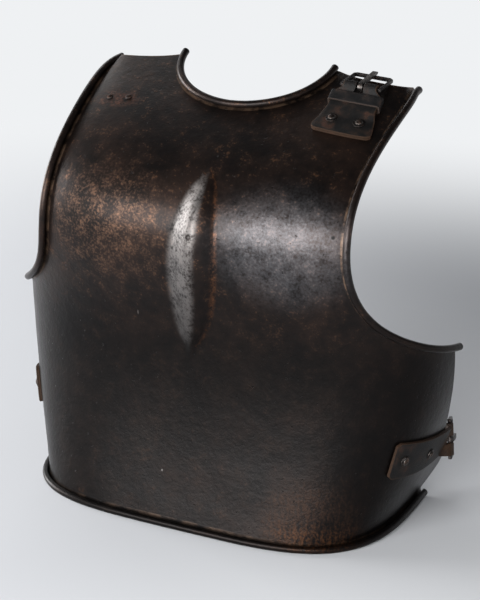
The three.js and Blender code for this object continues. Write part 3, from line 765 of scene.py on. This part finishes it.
def folded_strap(name, track, size, node):
    stations = strap_stations(size)
    count = len(stations) - 1
    lines = 2 * across_lines
    mesh = bmesh.new()
    bmesh.ops.create_grid(mesh, x_segments=count, y_segments=lines, size=1)
    slot_line = slot_half / size["half_width"](size["length"])
    first = 1 / across_lines
    to_border = {}
    in_slot = {}
    for vert in mesh.verts:
        line = round(vert.co.y * across_lines)
        along, off = stations[round((vert.co.x + 1) / 2 * count)]
        share = abs(line) / across_lines
        share = share * slot_line / first if share <= first else mix(
            slot_line, 1, (share - first) / (1 - first))
        half = strap_width(size, min(along, size["length"]))
        across = math.copysign(share * half, line)
        in_slot[vert] = abs(line) <= 1 and along >= size["length"] - size["slot"] - probe
        to_border[vert] = min(half - abs(across), along + tail_border)
        place = track(along, across, off)
        out = (place - track(along, across, off - probe)).normalized()
        vert.co = place + out * (noise.noise(place / pebble_size) * pebble_height)
    cut = [f for f in mesh.faces if all(in_slot[v] for v in f.verts)]
    bmesh.ops.delete(mesh, geom=cut, context="FACES")
    return finished(
        name, mesh, "front_plate", [node],
        wall=size["layer"] * leather_share, soft=leather_edge,
        values={"border": lambda v: to_border[v]})


# %% Strap sizes
fold_step = 0.00015
shoulder_thick = 2 * shoulder_layer
waist_thick = 2 * waist_layer


def strap_size(length, slot, layer, corner, bar_height, half_width, lift, nose):
    """All that shapes a strap; at its nose the two layers part and go round the bar."""
    eye_outer = eye_radius + layer
    fold_half = eye_outer - fold_step
    return {
        "length": length, "slot": slot, "layer": layer, "corner": corner,
        "eye_outer": eye_outer, "bar_height": bar_height, "half_width": half_width,
        "under": lambda a: mix(lift(a), bar_height - fold_half, nose(a)),
        "over": lambda a: mix(lift(a) + 2 * layer, bar_height + fold_half, nose(a)),
    }


def shoulder_half_width(along):
    tail = mix(shoulder_start_half, keeper_half, min(along / parallel_start, 1))
    return mix(tail, shoulder_bar_half, smooth((along - taper_start) / (taper_end - taper_start)))


def waist_size(length):
    nose_length = 2 * (eye_radius + waist_layer)
    return strap_size(
        length, waist_slot, waist_layer, waist_corner, waist_bar_height,
        lambda a: mix(waist_start_half, waist_bar_half, min(a / length, 1)), lambda a: gap,
        lambda a: smooth((a - length + 1.5 * nose_length) / nose_length))


# %% The three straps
shoulder_size = strap_size(
    shoulder_length, shoulder_slot, shoulder_layer, shoulder_corner,
    shoulder_lift(shoulder_length) + eye_radius + shoulder_layer, shoulder_half_width,
    shoulder_lift, lambda a: smooth((a - taper_start) / (shoulder_length - taper_start)))
straps = [folded_strap(
    "folded_shoulder_strap", shoulder_track, shoulder_size, "left_shoulder_strap")]
for name, (track, length) in waist_tracks.items():
    straps.append(folded_strap(
        "folded_" + name + "_waist_strap", track, waist_size(length), name + "_waist_strap"))

# %% [markdown]
# ## The keeper
# A band of leather goes round the shoulder strap below its buckle and would hold the
# free end of the matching strap. It is a closed loop: one grid is wrapped round the
# strap and its two ends are merged.

# %% Keeper
keeper_start = 0.0345
keeper_length = 0.011
keeper_leather = 0.0017
keeper_play = 0.00035
keeper_corner = 0.0012
corner_steps = 4
keeper_step = 0.004
keeper_lines = 6


def keeper_loop():
    """Middle line of the band round the strap, as places across and off."""
    half = keeper_half + keeper_play + keeper_leather / 2
    low = -keeper_play - keeper_leather / 2
    high = shoulder_thick + keeper_play + keeper_leather / 2
    points = []
    corners = [(half, high, 0), (-half, high, 1), (-half, low, 2), (half, low, 3)]
    for across, off, quarter in corners:
        centre_across = across - math.copysign(keeper_corner, across)
        centre_off = off + (keeper_corner if off == low else -keeper_corner)
        for i in range(corner_steps + 1):
            turn = math.pi / 2 * (quarter + i / corner_steps)
            points.append((
                centre_across + keeper_corner * math.cos(turn),
                centre_off + keeper_corner * math.sin(turn)))
    whole = []
    for (a, b), (c, d) in zip(points, points[1:] + points[:1]):
        pieces = max(round(math.hypot(c - a, d - b) / keeper_step), 1)
        whole += [(mix(a, c, i / pieces), mix(b, d, i / pieces)) for i in range(pieces)]
    return whole + whole[:1]


loop = keeper_loop()
keeper_mesh = bmesh.new()
bmesh.ops.create_grid(keeper_mesh, x_segments=len(loop) - 1, y_segments=keeper_lines, size=1)
for vert in keeper_mesh.verts:
    across, off = loop[round((vert.co.x + 1) / 2 * (len(loop) - 1))]
    along = keeper_start + keeper_length * (vert.co.y + 1) / 2
    vert.co = shoulder_track(along, across, shoulder_lift(along) + off)
bmesh.ops.remove_doubles(keeper_mesh, verts=keeper_mesh.verts, dist=weld_distance)
keeper_lift = shoulder_lift(keeper_start)
keeper_ends = [
    shoulder_track(end, across, keeper_lift + off)
    for end in (keeper_start, keeper_start + keeper_length) for across, off in loop]


def keeper_edge(vert):
    return min((vert.co - place).length for place in keeper_ends)


keeper_piece = finished(
    "leather_keeper", keeper_mesh, "left_shoulder_keeper", ["left_shoulder_keeper"],
    wall=keeper_leather, soft=leather_edge, values={"border": keeper_edge})

# %% [markdown]
# ## Buckles
# The frames and prongs are plain forged iron, and their solids already have the right
# form. A copy of each is merged, its flat faces are joined, and its edges are rounded
# as years of use round them.

# %% Frames and prongs
flat_limit = math.radians(1)
corner_limit = math.radians(40)
round_steps = 3
iron_kinds = [
    ("_buckle_frame", "_buckle", 0.00035, "buckle_steel"),
    ("_prong", "_tongue", 0.0006, "prong_steel"),
]


def rounded_copy(node, body, round_off):
    mesh = bmesh.new()
    mesh.from_mesh(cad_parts[node].data)
    bmesh.ops.remove_doubles(mesh, verts=mesh.verts, dist=weld_distance)
    bmesh.ops.dissolve_limit(mesh, angle_limit=flat_limit, verts=mesh.verts, edges=mesh.edges)
    sharp = [
        e for e in mesh.edges if len(e.link_faces) == 2 and e.calc_face_angle() > corner_limit]
    bmesh.ops.bevel(
        mesh, geom=sharp, offset=round_off, offset_type="OFFSET", segments=round_steps,
        profile=0.5, affect="EDGES", material=-1, clamp_overlap=True)
    return finished("forged_" + node, mesh, body, [node])


irons = [
    rounded_copy(place + ending, place + body, round_off)
    for place in ("left_shoulder", "left_waist", "right_waist")
    for ending, body, round_off, slot in iron_kinds]

# %% [markdown]
# ## Rivets and burrs
# A rivet was pushed through from inside, a washer called a burr was laid over it, and
# its end was hammered into a small dome. Both are turned shapes, so half their
# outline is spun round the rivet's axis.

# %% Turned pieces
shank_radius = 0.002
head_radius = 0.0046
head_height = 0.0018
head_seat = 0.0013
peen_radius = 0.0029
peen_height = 0.0012
burr_radius = 0.005
burr_thickness = 0.001
head_fullness = 0.6
burr_softness = 0.45
turn_steps = 32
dome_steps = 6


def turned(outline, basis, closed):
    """Spins half an outline, given as radius and height, round the basis's up axis."""
    mesh = bmesh.new()
    verts = [mesh.verts.new((radius, 0, up)) for radius, up in outline]
    edges = [mesh.edges.new(pair) for pair in zip(verts, verts[1:])]
    if closed:
        edges.append(mesh.edges.new((verts[-1], verts[0])))
    bmesh.ops.spin(
        mesh, geom=verts + edges, cent=(0, 0, 0), axis=(0, 0, 1), angle=2 * math.pi,
        steps=turn_steps, use_merge=True, use_duplicate=False)
    bmesh.ops.remove_doubles(mesh, verts=mesh.verts, dist=weld_distance)
    bmesh.ops.transform(mesh, matrix=basis, verts=mesh.verts)
    return mesh


def quarter(centre, radius, low, height, fullness=1.0):
    """Outline of a rounded rim or a dome, from its foot to its top."""
    turns = [math.pi / 2 * i / dome_steps for i in range(dome_steps + 1)]
    return [
        (centre + radius * math.cos(turn) ** fullness, low + height * math.sin(turn))
        for turn in turns]


def rivet_outline(top):
    inside = -sheet - head_seat
    head = quarter(0, head_radius, -inside, head_height, head_fullness)
    shank = [(shank_radius, inside), (shank_radius, top)]
    return [(r, -h) for r, h in head[::-1]] + shank + quarter(0, peen_radius, top, peen_height)


def burr_outline(bottom):
    top = bottom + burr_thickness
    inner = shank_radius + gap
    soft = burr_thickness * burr_softness
    rim = quarter(burr_radius - soft, soft, top - soft, soft)
    return [(inner, bottom), (burr_radius, bottom), *rim, (inner, top)]


def basis_on(track, along, across):
    foot = track(along, across, 0)
    up = (track(along, across, probe) - foot).normalized()
    aside = (track(along + probe, across, 0) - foot).cross(up).normalized()
    return standing(foot, up.cross(aside), aside, up)


# %% Rivets through the straps and on the bare shoulder
shoulder_rivet_along = 0.015
shoulder_rivet_across = 0.0125
waist_rivets = {"front": 0.013, "rear": 0.054}
old_rivet_spots = {"outer": (-0.122, 0.367), "inner": (-0.1026, 0.369)}
rivets = []
burrs = []


def rivet_through(prefix, track, along, across, strap_top):
    basis = basis_on(track, along, across)
    foot = strap_top + gap
    top = foot + burr_thickness + gap
    rivets.append(finished(
        "peened_" + prefix + "_rivet", turned(rivet_outline(top), basis, False), "front_plate",
        [prefix + "_rivet"]))
    burrs.append(finished(
        "turned_" + prefix + "_burr", turned(burr_outline(foot), basis, True), "front_plate",
        [prefix + "_burr"]))


for name, side in (("inner", -1), ("outer", 1)):
    rivet_through(
        "left_shoulder_" + name, shoulder_track, shoulder_rivet_along,
        side * shoulder_rivet_across, gap + shoulder_thick)
for name, (track, length) in waist_tracks.items():
    for end, along in waist_rivets.items():
        rivet_through(name + "_waist_" + end, track, along, 0, gap + waist_thick)


def track_round(x, z):
    """A track on the bare shoulder that starts at the given place."""
    def track(along, across, off):
        point = shoulder_face(x + across, z + along)
        point += outward(shoulder_face, x + across, z + along, probe, probe) * off
        point.y += stand_back
        return point

    return track


old_rivets = [
    finished(
        "worn_right_shoulder_" + name + "_rivet",
        turned(rivet_outline(gap), basis_on(track_round(*spot), 0, 0), False),
        "front_plate", ["right_shoulder_" + name + "_rivet"])
    for name, spot in old_rivet_spots.items()]
print("rivets", len(rivets + old_rivets), "burrs", len(burrs))

# %% [markdown]
# ## Shader sums in plain Python
# A material is a sum of masks: dirt where it gathers, bare metal where hands rub.
# A small class wraps a shader socket, so that such a sum is written as an ordinary
# expression and each sign in it adds one Math node.

# %% The socket class
class Value:
    """A number that changes over a surface, held by a shader socket."""

    def __init__(self, maker, socket):
        self.maker = maker
        self.socket = socket

    def math(self, operation, *others):
        inputs = dict(enumerate((self, *others)))
        return self.maker.node("ShaderNodeMath", {"operation": operation}, inputs)

    def __add__(self, other):
        return self.math("ADD", other)

    def __sub__(self, other):
        return self.math("SUBTRACT", other)

    def __rsub__(self, other):
        return self.maker.node("ShaderNodeMath", {"operation": "SUBTRACT"}, {0: other, 1: self})

    def __mul__(self, other):
        return self.math("MULTIPLY", other)

    def __truediv__(self, other):
        return self.math("DIVIDE", other)

    __radd__ = __add__
    __rmul__ = __mul__

    def over(self, other):
        return self.math("MAXIMUM", other)

    def between(self, low, high):
        """0 at low, 1 at high, smooth between."""
        return self.maker.node(
            "ShaderNodeMapRange", {"interpolation_type": "SMOOTHSTEP"},
            {"Value": self, "From Min": low, "From Max": high, "To Min": 0.0, "To Max": 1.0},
            "Result")


class Finish:
    """A material or a world, with the few node makers that its sums need."""

    def __init__(self, wearer, shader="Principled BSDF", place="Object"):
        wearer.use_nodes = True
        self.wearer = wearer
        self.tree = wearer.node_tree
        self.shader = self.tree.nodes[shader]
        self.place = self.node("ShaderNodeTexCoord", {}, {}, place)

    def node(self, kind, settings, inputs, out=0):
        made = self.tree.nodes.new(kind)
        for key, setting in settings.items():
            setattr(made, key, setting)
        for key, value in inputs.items():
            self.set(made.inputs[key], value)
        return Value(self, made.outputs[out])

    def set(self, socket, value):
        if isinstance(value, Value):
            self.tree.links.new(value.socket, socket)
        else:
            socket.default_value = value

    def feed(self, **inputs):
        for key, value in inputs.items():
            self.set(self.shader.inputs[key.replace("_", " ")], value)

    def noise(self, size, detail, stretch=(1, 1, 1), shift=(0, 0, 0), rough=0.5):
        """Cloudy noise whose lumps are about the given size in metres."""
        scale = tuple(1 / (size * s) for s in stretch)
        place = self.node(
            "ShaderNodeMapping", {"vector_type": "POINT"},
            {"Vector": self.place, "Location": shift, "Scale": scale})
        return self.node(
            "ShaderNodeTexNoise", {"noise_dimensions": "3D"},
            {"Vector": place, "Scale": 1.0, "Detail": detail, "Roughness": rough}, "Fac")

    def attribute(self, name):
        return self.node("ShaderNodeAttribute", {"attribute_name": name}, {}, "Fac")

    def axes(self):
        made = self.tree.nodes.new("ShaderNodeSeparateXYZ")
        self.set(made.inputs[0], self.place)
        return [Value(self, made.outputs[i]) for i in range(3)]

    def patch(self, place, reach):
        """1 in the middle of a patch and 0 outside it."""
        parts = [(axis - middle) / size for axis, middle, size in zip(self.axes(), place, reach)]
        squares = [part * part for part in parts]
        away = (squares[0] + squares[1] + squares[2]).math("POWER", 0.5)
        return 1 - away.between(0.35, 1.0)

    def layered(self, base, *layers):
        """A colour with others laid over it, each by the share that it covers."""
        result = colour(*base)
        for paint, share in layers:
            made = self.tree.nodes.new("ShaderNodeMix")
            made.data_type = "RGBA"
            self.set(made.inputs[0], share)
            self.set(made.inputs[6], result)
            self.set(made.inputs[7], colour(*paint))
            result = Value(self, made.outputs[2])
        return result

    def bump(self, height, distance, strength):
        return self.node(
            "ShaderNodeBump", {},
            {"Height": height, "Distance": distance, "Strength": strength}, "Normal")

    def seen(self):
        """1 on the rays that make the picture, and 0 on those that only carry light."""
        camera_ray, glossy_ray, clear_ray = [
            self.node("ShaderNodeLightPath", {}, {}, "Is " + kind + " Ray")
            for kind in ("Camera", "Glossy", "Transmission")]
        return (camera_ray + glossy_ray + clear_ray).math("MINIMUM", 1.0)


def colour(red, green, blue):
    """A colour as it looks on screen, 0 to 255, turned into the shader's own scale."""
    def straight(level):
        share = level / 255
        return share / 12.92 if share <= 0.04045 else ((share + 0.055) / 1.055) ** 2.4
    return (straight(red), straight(green), straight(blue), 1)


print("dark steel as numbers", [round(v, 4) for v in colour(40, 36, 34)])

# %% [markdown]
# ## Dark steel
# Old armour keeps a black-brown skin of oxide and oil. It is thin on raised places,
# where the bare metal shows, and it is thicker and browner in the hollows. So the
# colour is mixed from cloud patterns of several sizes, and the same clouds change the
# gloss. Pale patches on the chest and on the keel's lit flank are partly bare metal
# and partly painted highlight. Pale lines along the bend at each rolled edge are
# painted highlight, dark rings round the old shoulder rivets are painted shadow, and
# below the chest the colour is darker and the gloss higher.

# %% Marks on the plate, each a place and a reach in metres
marks = {
    "rust": ((0.126, 0.028, 0.026), (0.062, 0.045, 0.046)),
    "small rust": ((-0.1025, 0.020, 0.011), (0.012, 0.014, 0.004)),
    # partly bare metal, partly painted highlight: the sheen on the right chest
    "bare_metal_and_sheen": ((0.094, 0.010, 0.278), (0.084, 0.070, 0.072)),
    # brown patina tint with painted highlight: the brownish sheen on the left chest
    "tan_and_sheen": ((-0.080, 0.010, 0.277), (0.085, 0.080, 0.075)),
    "ghost": ((-0.1115, 0.104, 0.3665), (0.030, 0.020, 0.011)),
}
# painted shadow: a dark ring round each old rivet on the bare shoulder
rivet_shadow_places = [(-0.122, 0.1035, 0.367), (-0.1026, 0.1010, 0.369)]
rivet_shadow_reach = (0.0075, 0.0075, 0.0055)
small_marks = [
    ((0.1338, 0.0265, 0.2915), (0.0022, 0.004, 0.0022), (14, 12, 12)),
    ((-0.0514, 0.0270, 0.1935), (0.0008, 0.004, 0.0030), (120, 112, 108)),
    ((-0.0206, 0.0148, 0.0486), (0.0011, 0.004, 0.0013), (176, 172, 168)),
]
inside_start = -0.001
inside_full = 0.004
belly_top = 0.15
chest_bottom = 0.26
crease_across = 0.98
steel_gloss = 0.27
steel_relief = 0.0005


# %% The plate's finish
def dark_steel(name, inside):
    """The plate's finish; its inside has no rusty places and no pale patches of bare metal and
    painted highlight, except on the rolls.
    """
    finish = Finish(bpy.data.materials.new(name))
    clouds = finish.noise(0.055, 4.0)
    mottle = finish.noise(0.012, 5.0, shift=(3, 1, 7), rough=0.62)
    grain = finish.noise(0.0022, 4.0, shift=(8, 2, 5), rough=0.6)
    specks = finish.noise(0.0035, 2.0, shift=(1, 9, 4))
    dimples = finish.noise(0.0055, 2.0, shift=(6, 3, 1))
    streaks = finish.noise(0.0035, 4.0, stretch=(0.8, 0.8, 4.0), shift=(5, 5, 0), rough=0.65)
    edge = finish.attribute("edge_distance")
    across = finish.attribute("keel_across")
    height = finish.axes()[2]
    shown = 1 - edge.between(inside_start, inside_full) if inside else 1.0

    def spots(share, low, high):
        """Spots of mottle and grain: none where their sum is at low, full where at high."""
        return (mottle * share + grain * (1 - share)).between(low, high)

    on_chest = height.between(belly_top, chest_bottom)
    # Below the chest the colour is darker and the gloss higher.
    below_chest = 1 - on_chest
    # painted highlight where the chest's sheen falls, partly bare metal
    bare_metal_and_sheen = finish.patch(*marks["bare_metal_and_sheen"]) * spots(0.5, 0.3, 0.66)
    # brown patina tint and painted highlight on the left chest
    tan_and_sheen = finish.patch(*marks["tan_and_sheen"]) * spots(0.4, 0.45, 0.62)
    ghost = finish.patch(*marks["ghost"]) * spots(0.5, 0.42, 0.6)
    rust = finish.patch(*marks["rust"]) * (streaks * 0.45 + grain * 0.55).between(0.4, 0.66)
    small_rust = finish.patch(*marks["small rust"]) * streaks.between(0.4, 0.6)
    rust = rust.over(small_rust * 0.8)
    by_the_roll = 1 - height.between(0.008, 0.03)
    # painted highlight: a pale line along the bend where each rolled edge starts
    pale_edge = (1 - edge.math("ABSOLUTE").between(0.0003, 0.0016)) * mottle.between(0.36, 0.6)
    crease = 1 - (across - crease_across).math("ABSOLUTE").between(0.0, 0.2)
    pits = specks.between(0.7, 0.76)
    lit_flank = across.between(-1.05, -0.6) * (1 - across.between(0.15, 0.45))
    keel_length = height.between(0.166, 0.184) * (1 - height.between(0.316, 0.33))

    layers = [
        ((50, 37, 31), (clouds * 0.6 + mottle * 0.5).between(0.38, 0.78)),
        ((88, 66, 52), spots(0.5, 0.54, 0.68) * 0.45),
        ((112, 76, 50), spots(0.45, 0.57, 0.66) * on_chest * shown * 0.34),
        # pale patch of painted highlight and bare metal on the right chest
        ((102, 103, 107), bare_metal_and_sheen * shown * 0.5),
        # brownish painted highlight on the left chest, partly patina tint
        ((112, 84, 66), tan_and_sheen * shown * 0.4),
        ((116, 74, 56), ghost * shown * 0.45),
    ]
    # painted shadow round the old rivet heads
    for place in rivet_shadow_places:
        rivet_shadow = finish.patch(place, rivet_shadow_reach) * spots(0.4, 0.3, 0.5)
        layers.append(((14, 11, 10), rivet_shadow * shown * 0.85))
    for place, reach, paint in small_marks:
        layers.append((paint, finish.patch(place, reach) * shown))
    layers += [
        # painted highlight along the bends of the rolled edges
        ((150, 122, 100), pale_edge * 0.45),
        ((116, 74, 46), crease * spots(0.5, 0.4, 0.6) * shown * 0.45),
        ((18, 15, 14), pits * 0.7),
        ((132, 128, 126), lit_flank * keel_length * spots(0.5, 0.36, 0.56) * shown * 0.65),
        # darker colour below the chest
        ((15, 14, 14), below_chest * 0.8),
        ((100, 60, 28), rust * shown * (by_the_roll * 0.3 + 0.12)),
    ]
    rough = (
        steel_gloss + clouds * 0.08 + mottle * 0.12 + grain * 0.1 + rust * 0.1 - below_chest * 0.06)
    if inside:
        rough = rough + 0.12 * (1 - shown)
        layers.append(((58, 43, 36), (1 - shown) * clouds.between(0.45, 0.65) * 0.5))
    relief = mottle * 0.4 + dimples * 0.5 + grain * 0.3 - pits * 0.5 + rust * 0.1
    finish.feed(
        Base_Color=finish.layered((24, 20, 19), *layers), Roughness=rough,
        Metallic=0.8 - rust * 0.15, Specular_IOR_Level=0.3,
        Coat_Weight=0.1 - rust.over(ghost).over(below_chest) * 0.09, Coat_Roughness=0.26,
        Normal=finish.bump(relief, steel_relief, 0.85))
    return finish.wearer


plate_piece.data.materials[0] = dark_steel("dark_plate_inside", True)
plate_piece.data.materials[1] = dark_steel("dark_plate_steel", False)
print("steel nodes", len(plate_piece.data.materials[0].node_tree.nodes))

# %% [markdown]
# ## Iron
# The buckles, prongs, rivets, washers and edge wires are plain iron. It went nearly
# black, and small spots of rust sit on it. Only the places that a strap or a finger
# rubs are bright, so a pattern finds raised corners and makes them paler.

# %% Iron finishes
iron_relief = 0.00022


def old_iron(name, dark, light, rust_share, shine):
    finish = Finish(bpy.data.materials.new(name))
    mottle = finish.noise(0.004, 4.0, rough=0.62)
    grain = finish.noise(0.0011, 3.0, shift=(4, 6, 2))
    edges = finish.node("ShaderNodeNewGeometry", {}, {}, "Pointiness")
    spots = (mottle * 0.5 + grain * 0.5).between(0.52, 0.66)
    pale_edge = edges.between(0.53, 0.60) * grain.between(0.3, 0.6)
    base = finish.layered(
        dark, (light, mottle.between(0.36, 0.7)), ((104, 66, 46), spots * rust_share),
        ((150, 144, 140), pale_edge * 0.6))
    finish.feed(
        Base_Color=base, Roughness=shine + mottle * 0.22 + grain * 0.1, Metallic=0.9,
        Normal=finish.bump(mottle * 0.6 + grain * 0.4, iron_relief, 0.6))
    return finish.wearer


def wear(pieces, material):
    for piece in pieces:
        piece.data.materials.clear()
        piece.data.materials.append(material)


wear(irons, old_iron("buckle_iron", (27, 25, 25), (46, 42, 41), 0.3, 0.3))
wear(rivets, old_iron("rivet_iron", (44, 38, 35), (84, 72, 65), 0.5, 0.34))
wear(old_rivets, old_iron("worn_rivet_iron", (26, 20, 18), (62, 47, 39), 0.6, 0.42))
wear(burrs, old_iron("washer_iron", (20, 18, 18), (42, 37, 35), 0.4, 0.36))
wire_iron = old_iron("wire_iron", (28, 25, 24), (46, 41, 38), 0.3, 0.36)
for place in ("waist", "neck", "left_arm", "right_arm"):
    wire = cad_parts[place + "_edge_wire"]
    for holder in wire.material_slots:
        holder.material = wire_iron
print("iron pieces", len(irons + rivets + old_rivets + burrs))

# %% [markdown]
# ## Leather
# The straps are thick, nearly black leather, dry and a little shiny from handling.
# Its brown inside shows along the cut borders and where the surface is cracked.
# The distance to the border was stored on each corner, so the brown follows the shape
# of the strap.

# %% Leather finish
pebbles_per_metre = 900.0
leather_relief = 0.0002
border_wander = 0.0016
scuff_reach = (0.026, 0.026, 0.026)
waist_bars = [track(length, 0, 0) for track, length in waist_tracks.values()]


def old_leather(name, dark, light, cut, cut_width, cut_share):
    finish = Finish(bpy.data.materials.new(name))
    border = finish.attribute("border")
    clouds = finish.noise(0.011, 4.0)
    pebbles = finish.node(
        "ShaderNodeTexVoronoi", {"feature": "DISTANCE_TO_EDGE"},
        {"Vector": finish.place, "Scale": pebbles_per_metre}, "Distance")
    fibres = finish.noise(0.0009, 4.0, shift=(2, 7, 3), rough=0.65)
    cracks = (1 - pebbles.between(0.02, 0.16)) * clouds.between(0.45, 0.7)
    inward = border + (clouds - 0.5) * border_wander
    rubbed = (1 - inward.between(0.0, cut_width)) * fibres.between(0.2, 0.6)
    scuffs = [
        ((78, 54, 34), finish.patch(bar, scuff_reach) * fibres.between(0.2, 0.7) * 0.75)
        for bar in waist_bars]
    base = finish.layered(
        dark, (light, (clouds * 0.6 + fibres * 0.4).between(0.4, 0.68)),
        ((66, 38, 29), (clouds * 0.7 + fibres * 0.3).between(0.56, 0.68) * 0.5),
        (cut, cracks * 0.3), (cut, rubbed * cut_share), *scuffs)
    finish.feed(
        Base_Color=base, Roughness=0.52 + clouds * 0.16 + rubbed * 0.15, Specular_IOR_Level=0.2,
        Normal=finish.bump(pebbles.between(0.0, 0.35) * 0.6 + fibres * 0.5, leather_relief, 0.55))
    return finish.wearer


wear(straps, old_leather(
    "strap_hide", (12, 11, 11), (23, 20, 19), (78, 55, 38), 0.0011, 0.5))
wear([keeper_piece], old_leather(
    "keeper_hide", (12, 12, 13), (22, 20, 20), (88, 74, 66), 0.0008, 0.4))
print("leather pieces", len(straps) + 1)

# %% [markdown]
# ## Floor, lamps and sky
# The plate stands on a plain pale floor under soft studio light. A wide low lamp
# stands in front and draws the broad sheen on the chest. A second one on the left
# draws the bright flank of the keel, and a weak one behind it lights the shoulder.
# Nothing hangs overhead, so the upper chest stays dark. The floor's own colour makes
# the background, and it keeps the shadow. A painted shadow darkens it to the right
# behind the plate, and painted light brightens it to the right in front of the plate.
# It is darker by the front lamp, so that it doesn't burn out there.

# %% Floor
floor_half = 7
floor_cells = 8
backdrop_start = 0.7
backdrop_full = 1.55

floor_mesh = bmesh.new()
bmesh.ops.create_grid(
    floor_mesh, x_segments=floor_cells, y_segments=floor_cells, size=floor_half)
floor_data = bpy.data.meshes.new("studio_floor")
floor_mesh.to_mesh(floor_data)
floor_mesh.free()
floor = added("studio_floor", floor_data)

paint = Finish(bpy.data.materials.new("floor_paint"))
floor_x, floor_y = paint.axes()[:2]
# painted shadow: a darker patch on the floor right of and behind the plate
painted_shadow_right = paint.patch((0.35, 0.95, 0), (0.75, 0.62, 1))
# painted light: a pale patch on the floor beside the plate's near right corner, where the left
# lamp's shadow falls
painted_light_near_right = (floor_x * 0.9 - floor_y * 0.5).between(-0.05, 0.3)
by_the_lamp = (floor_y * -1).between(0.3, 1.1)
floor_colour = paint.layered(
    (210, 212, 216), ((164, 167, 172), painted_shadow_right * 0.78),
    ((242, 244, 247), painted_light_near_right * 0.85), ((128, 130, 133), by_the_lamp))
paint.feed(Base_Color=floor_colour, Roughness=0.8)

# The far floor is as pale as a lit backdrop, but only to the eye: it adds no light.
distance = (floor_x * floor_x + floor_y * floor_y).math("POWER", 0.5)
backdrop = paint.node(
    "ShaderNodeEmission", {}, {"Color": colour(239, 241, 243), "Strength": 1.0})
floor_look = paint.node("ShaderNodeMixShader", {}, {
    0: distance.between(backdrop_start, backdrop_full) * paint.seen(),
    1: Value(paint, paint.shader.outputs[0]), 2: backdrop})
paint.set(paint.tree.nodes["Material Output"].inputs["Surface"], floor_look)
floor.data.materials.append(paint.wearer)
print("floor nodes", len(paint.tree.nodes))

# %% Lamps
lamp_aim = Vector((0, 0.1, 0.22))


def lamp(name, turn, rise, distance, width, height, watts):
    """A soft lamp seen from the plate at a turn from its front and a rise, in degrees."""
    way = direction(math.radians(turn), math.radians(rise))
    data = bpy.data.lights.new(name, "AREA")
    data.shape = "RECTANGLE"
    data.size = width
    data.size_y = height
    data.energy = watts
    made = added(name, data)
    turning = (-way).to_track_quat("-Z", "Y")
    made.matrix_world = Matrix.Translation(lamp_aim + way * distance) @ turning.to_matrix().to_4x4()
    print(name, "at", [round(v, 2) for v in made.matrix_world.translation])


lamp("front_lamp", -6, 14, 2.6, 2.8, 1.35, 128)
lamp("left_lamp", -88, 10, 2.2, 1.5, 1.2, 66)
lamp("back_lamp", -136, 34, 2.4, 1.3, 0.8, 8)

# %% Sky
# The walls of the room look as pale as the floor, but light the plate only faintly.
room_light = 0.12
wall_light = 0.86
ceiling_light = 0.12
wall_top = 0.12
ceiling_start = 0.45

sky = Finish(bpy.data.worlds.new("even_sky"), "Background", "Generated")
upwards = sky.axes()[2].between(wall_top, ceiling_start)
sky_look = wall_light - upwards * (wall_light - ceiling_light)
sky.feed(Color=(0.95, 0.965, 1.0, 1), Strength=room_light + sky.seen() * (sky_look - room_light))
bpy.context.scene.world = sky.wearer
bpy.context.scene.view_settings.view_transform = "Standard"
print("sky nodes", len(sky.tree.nodes))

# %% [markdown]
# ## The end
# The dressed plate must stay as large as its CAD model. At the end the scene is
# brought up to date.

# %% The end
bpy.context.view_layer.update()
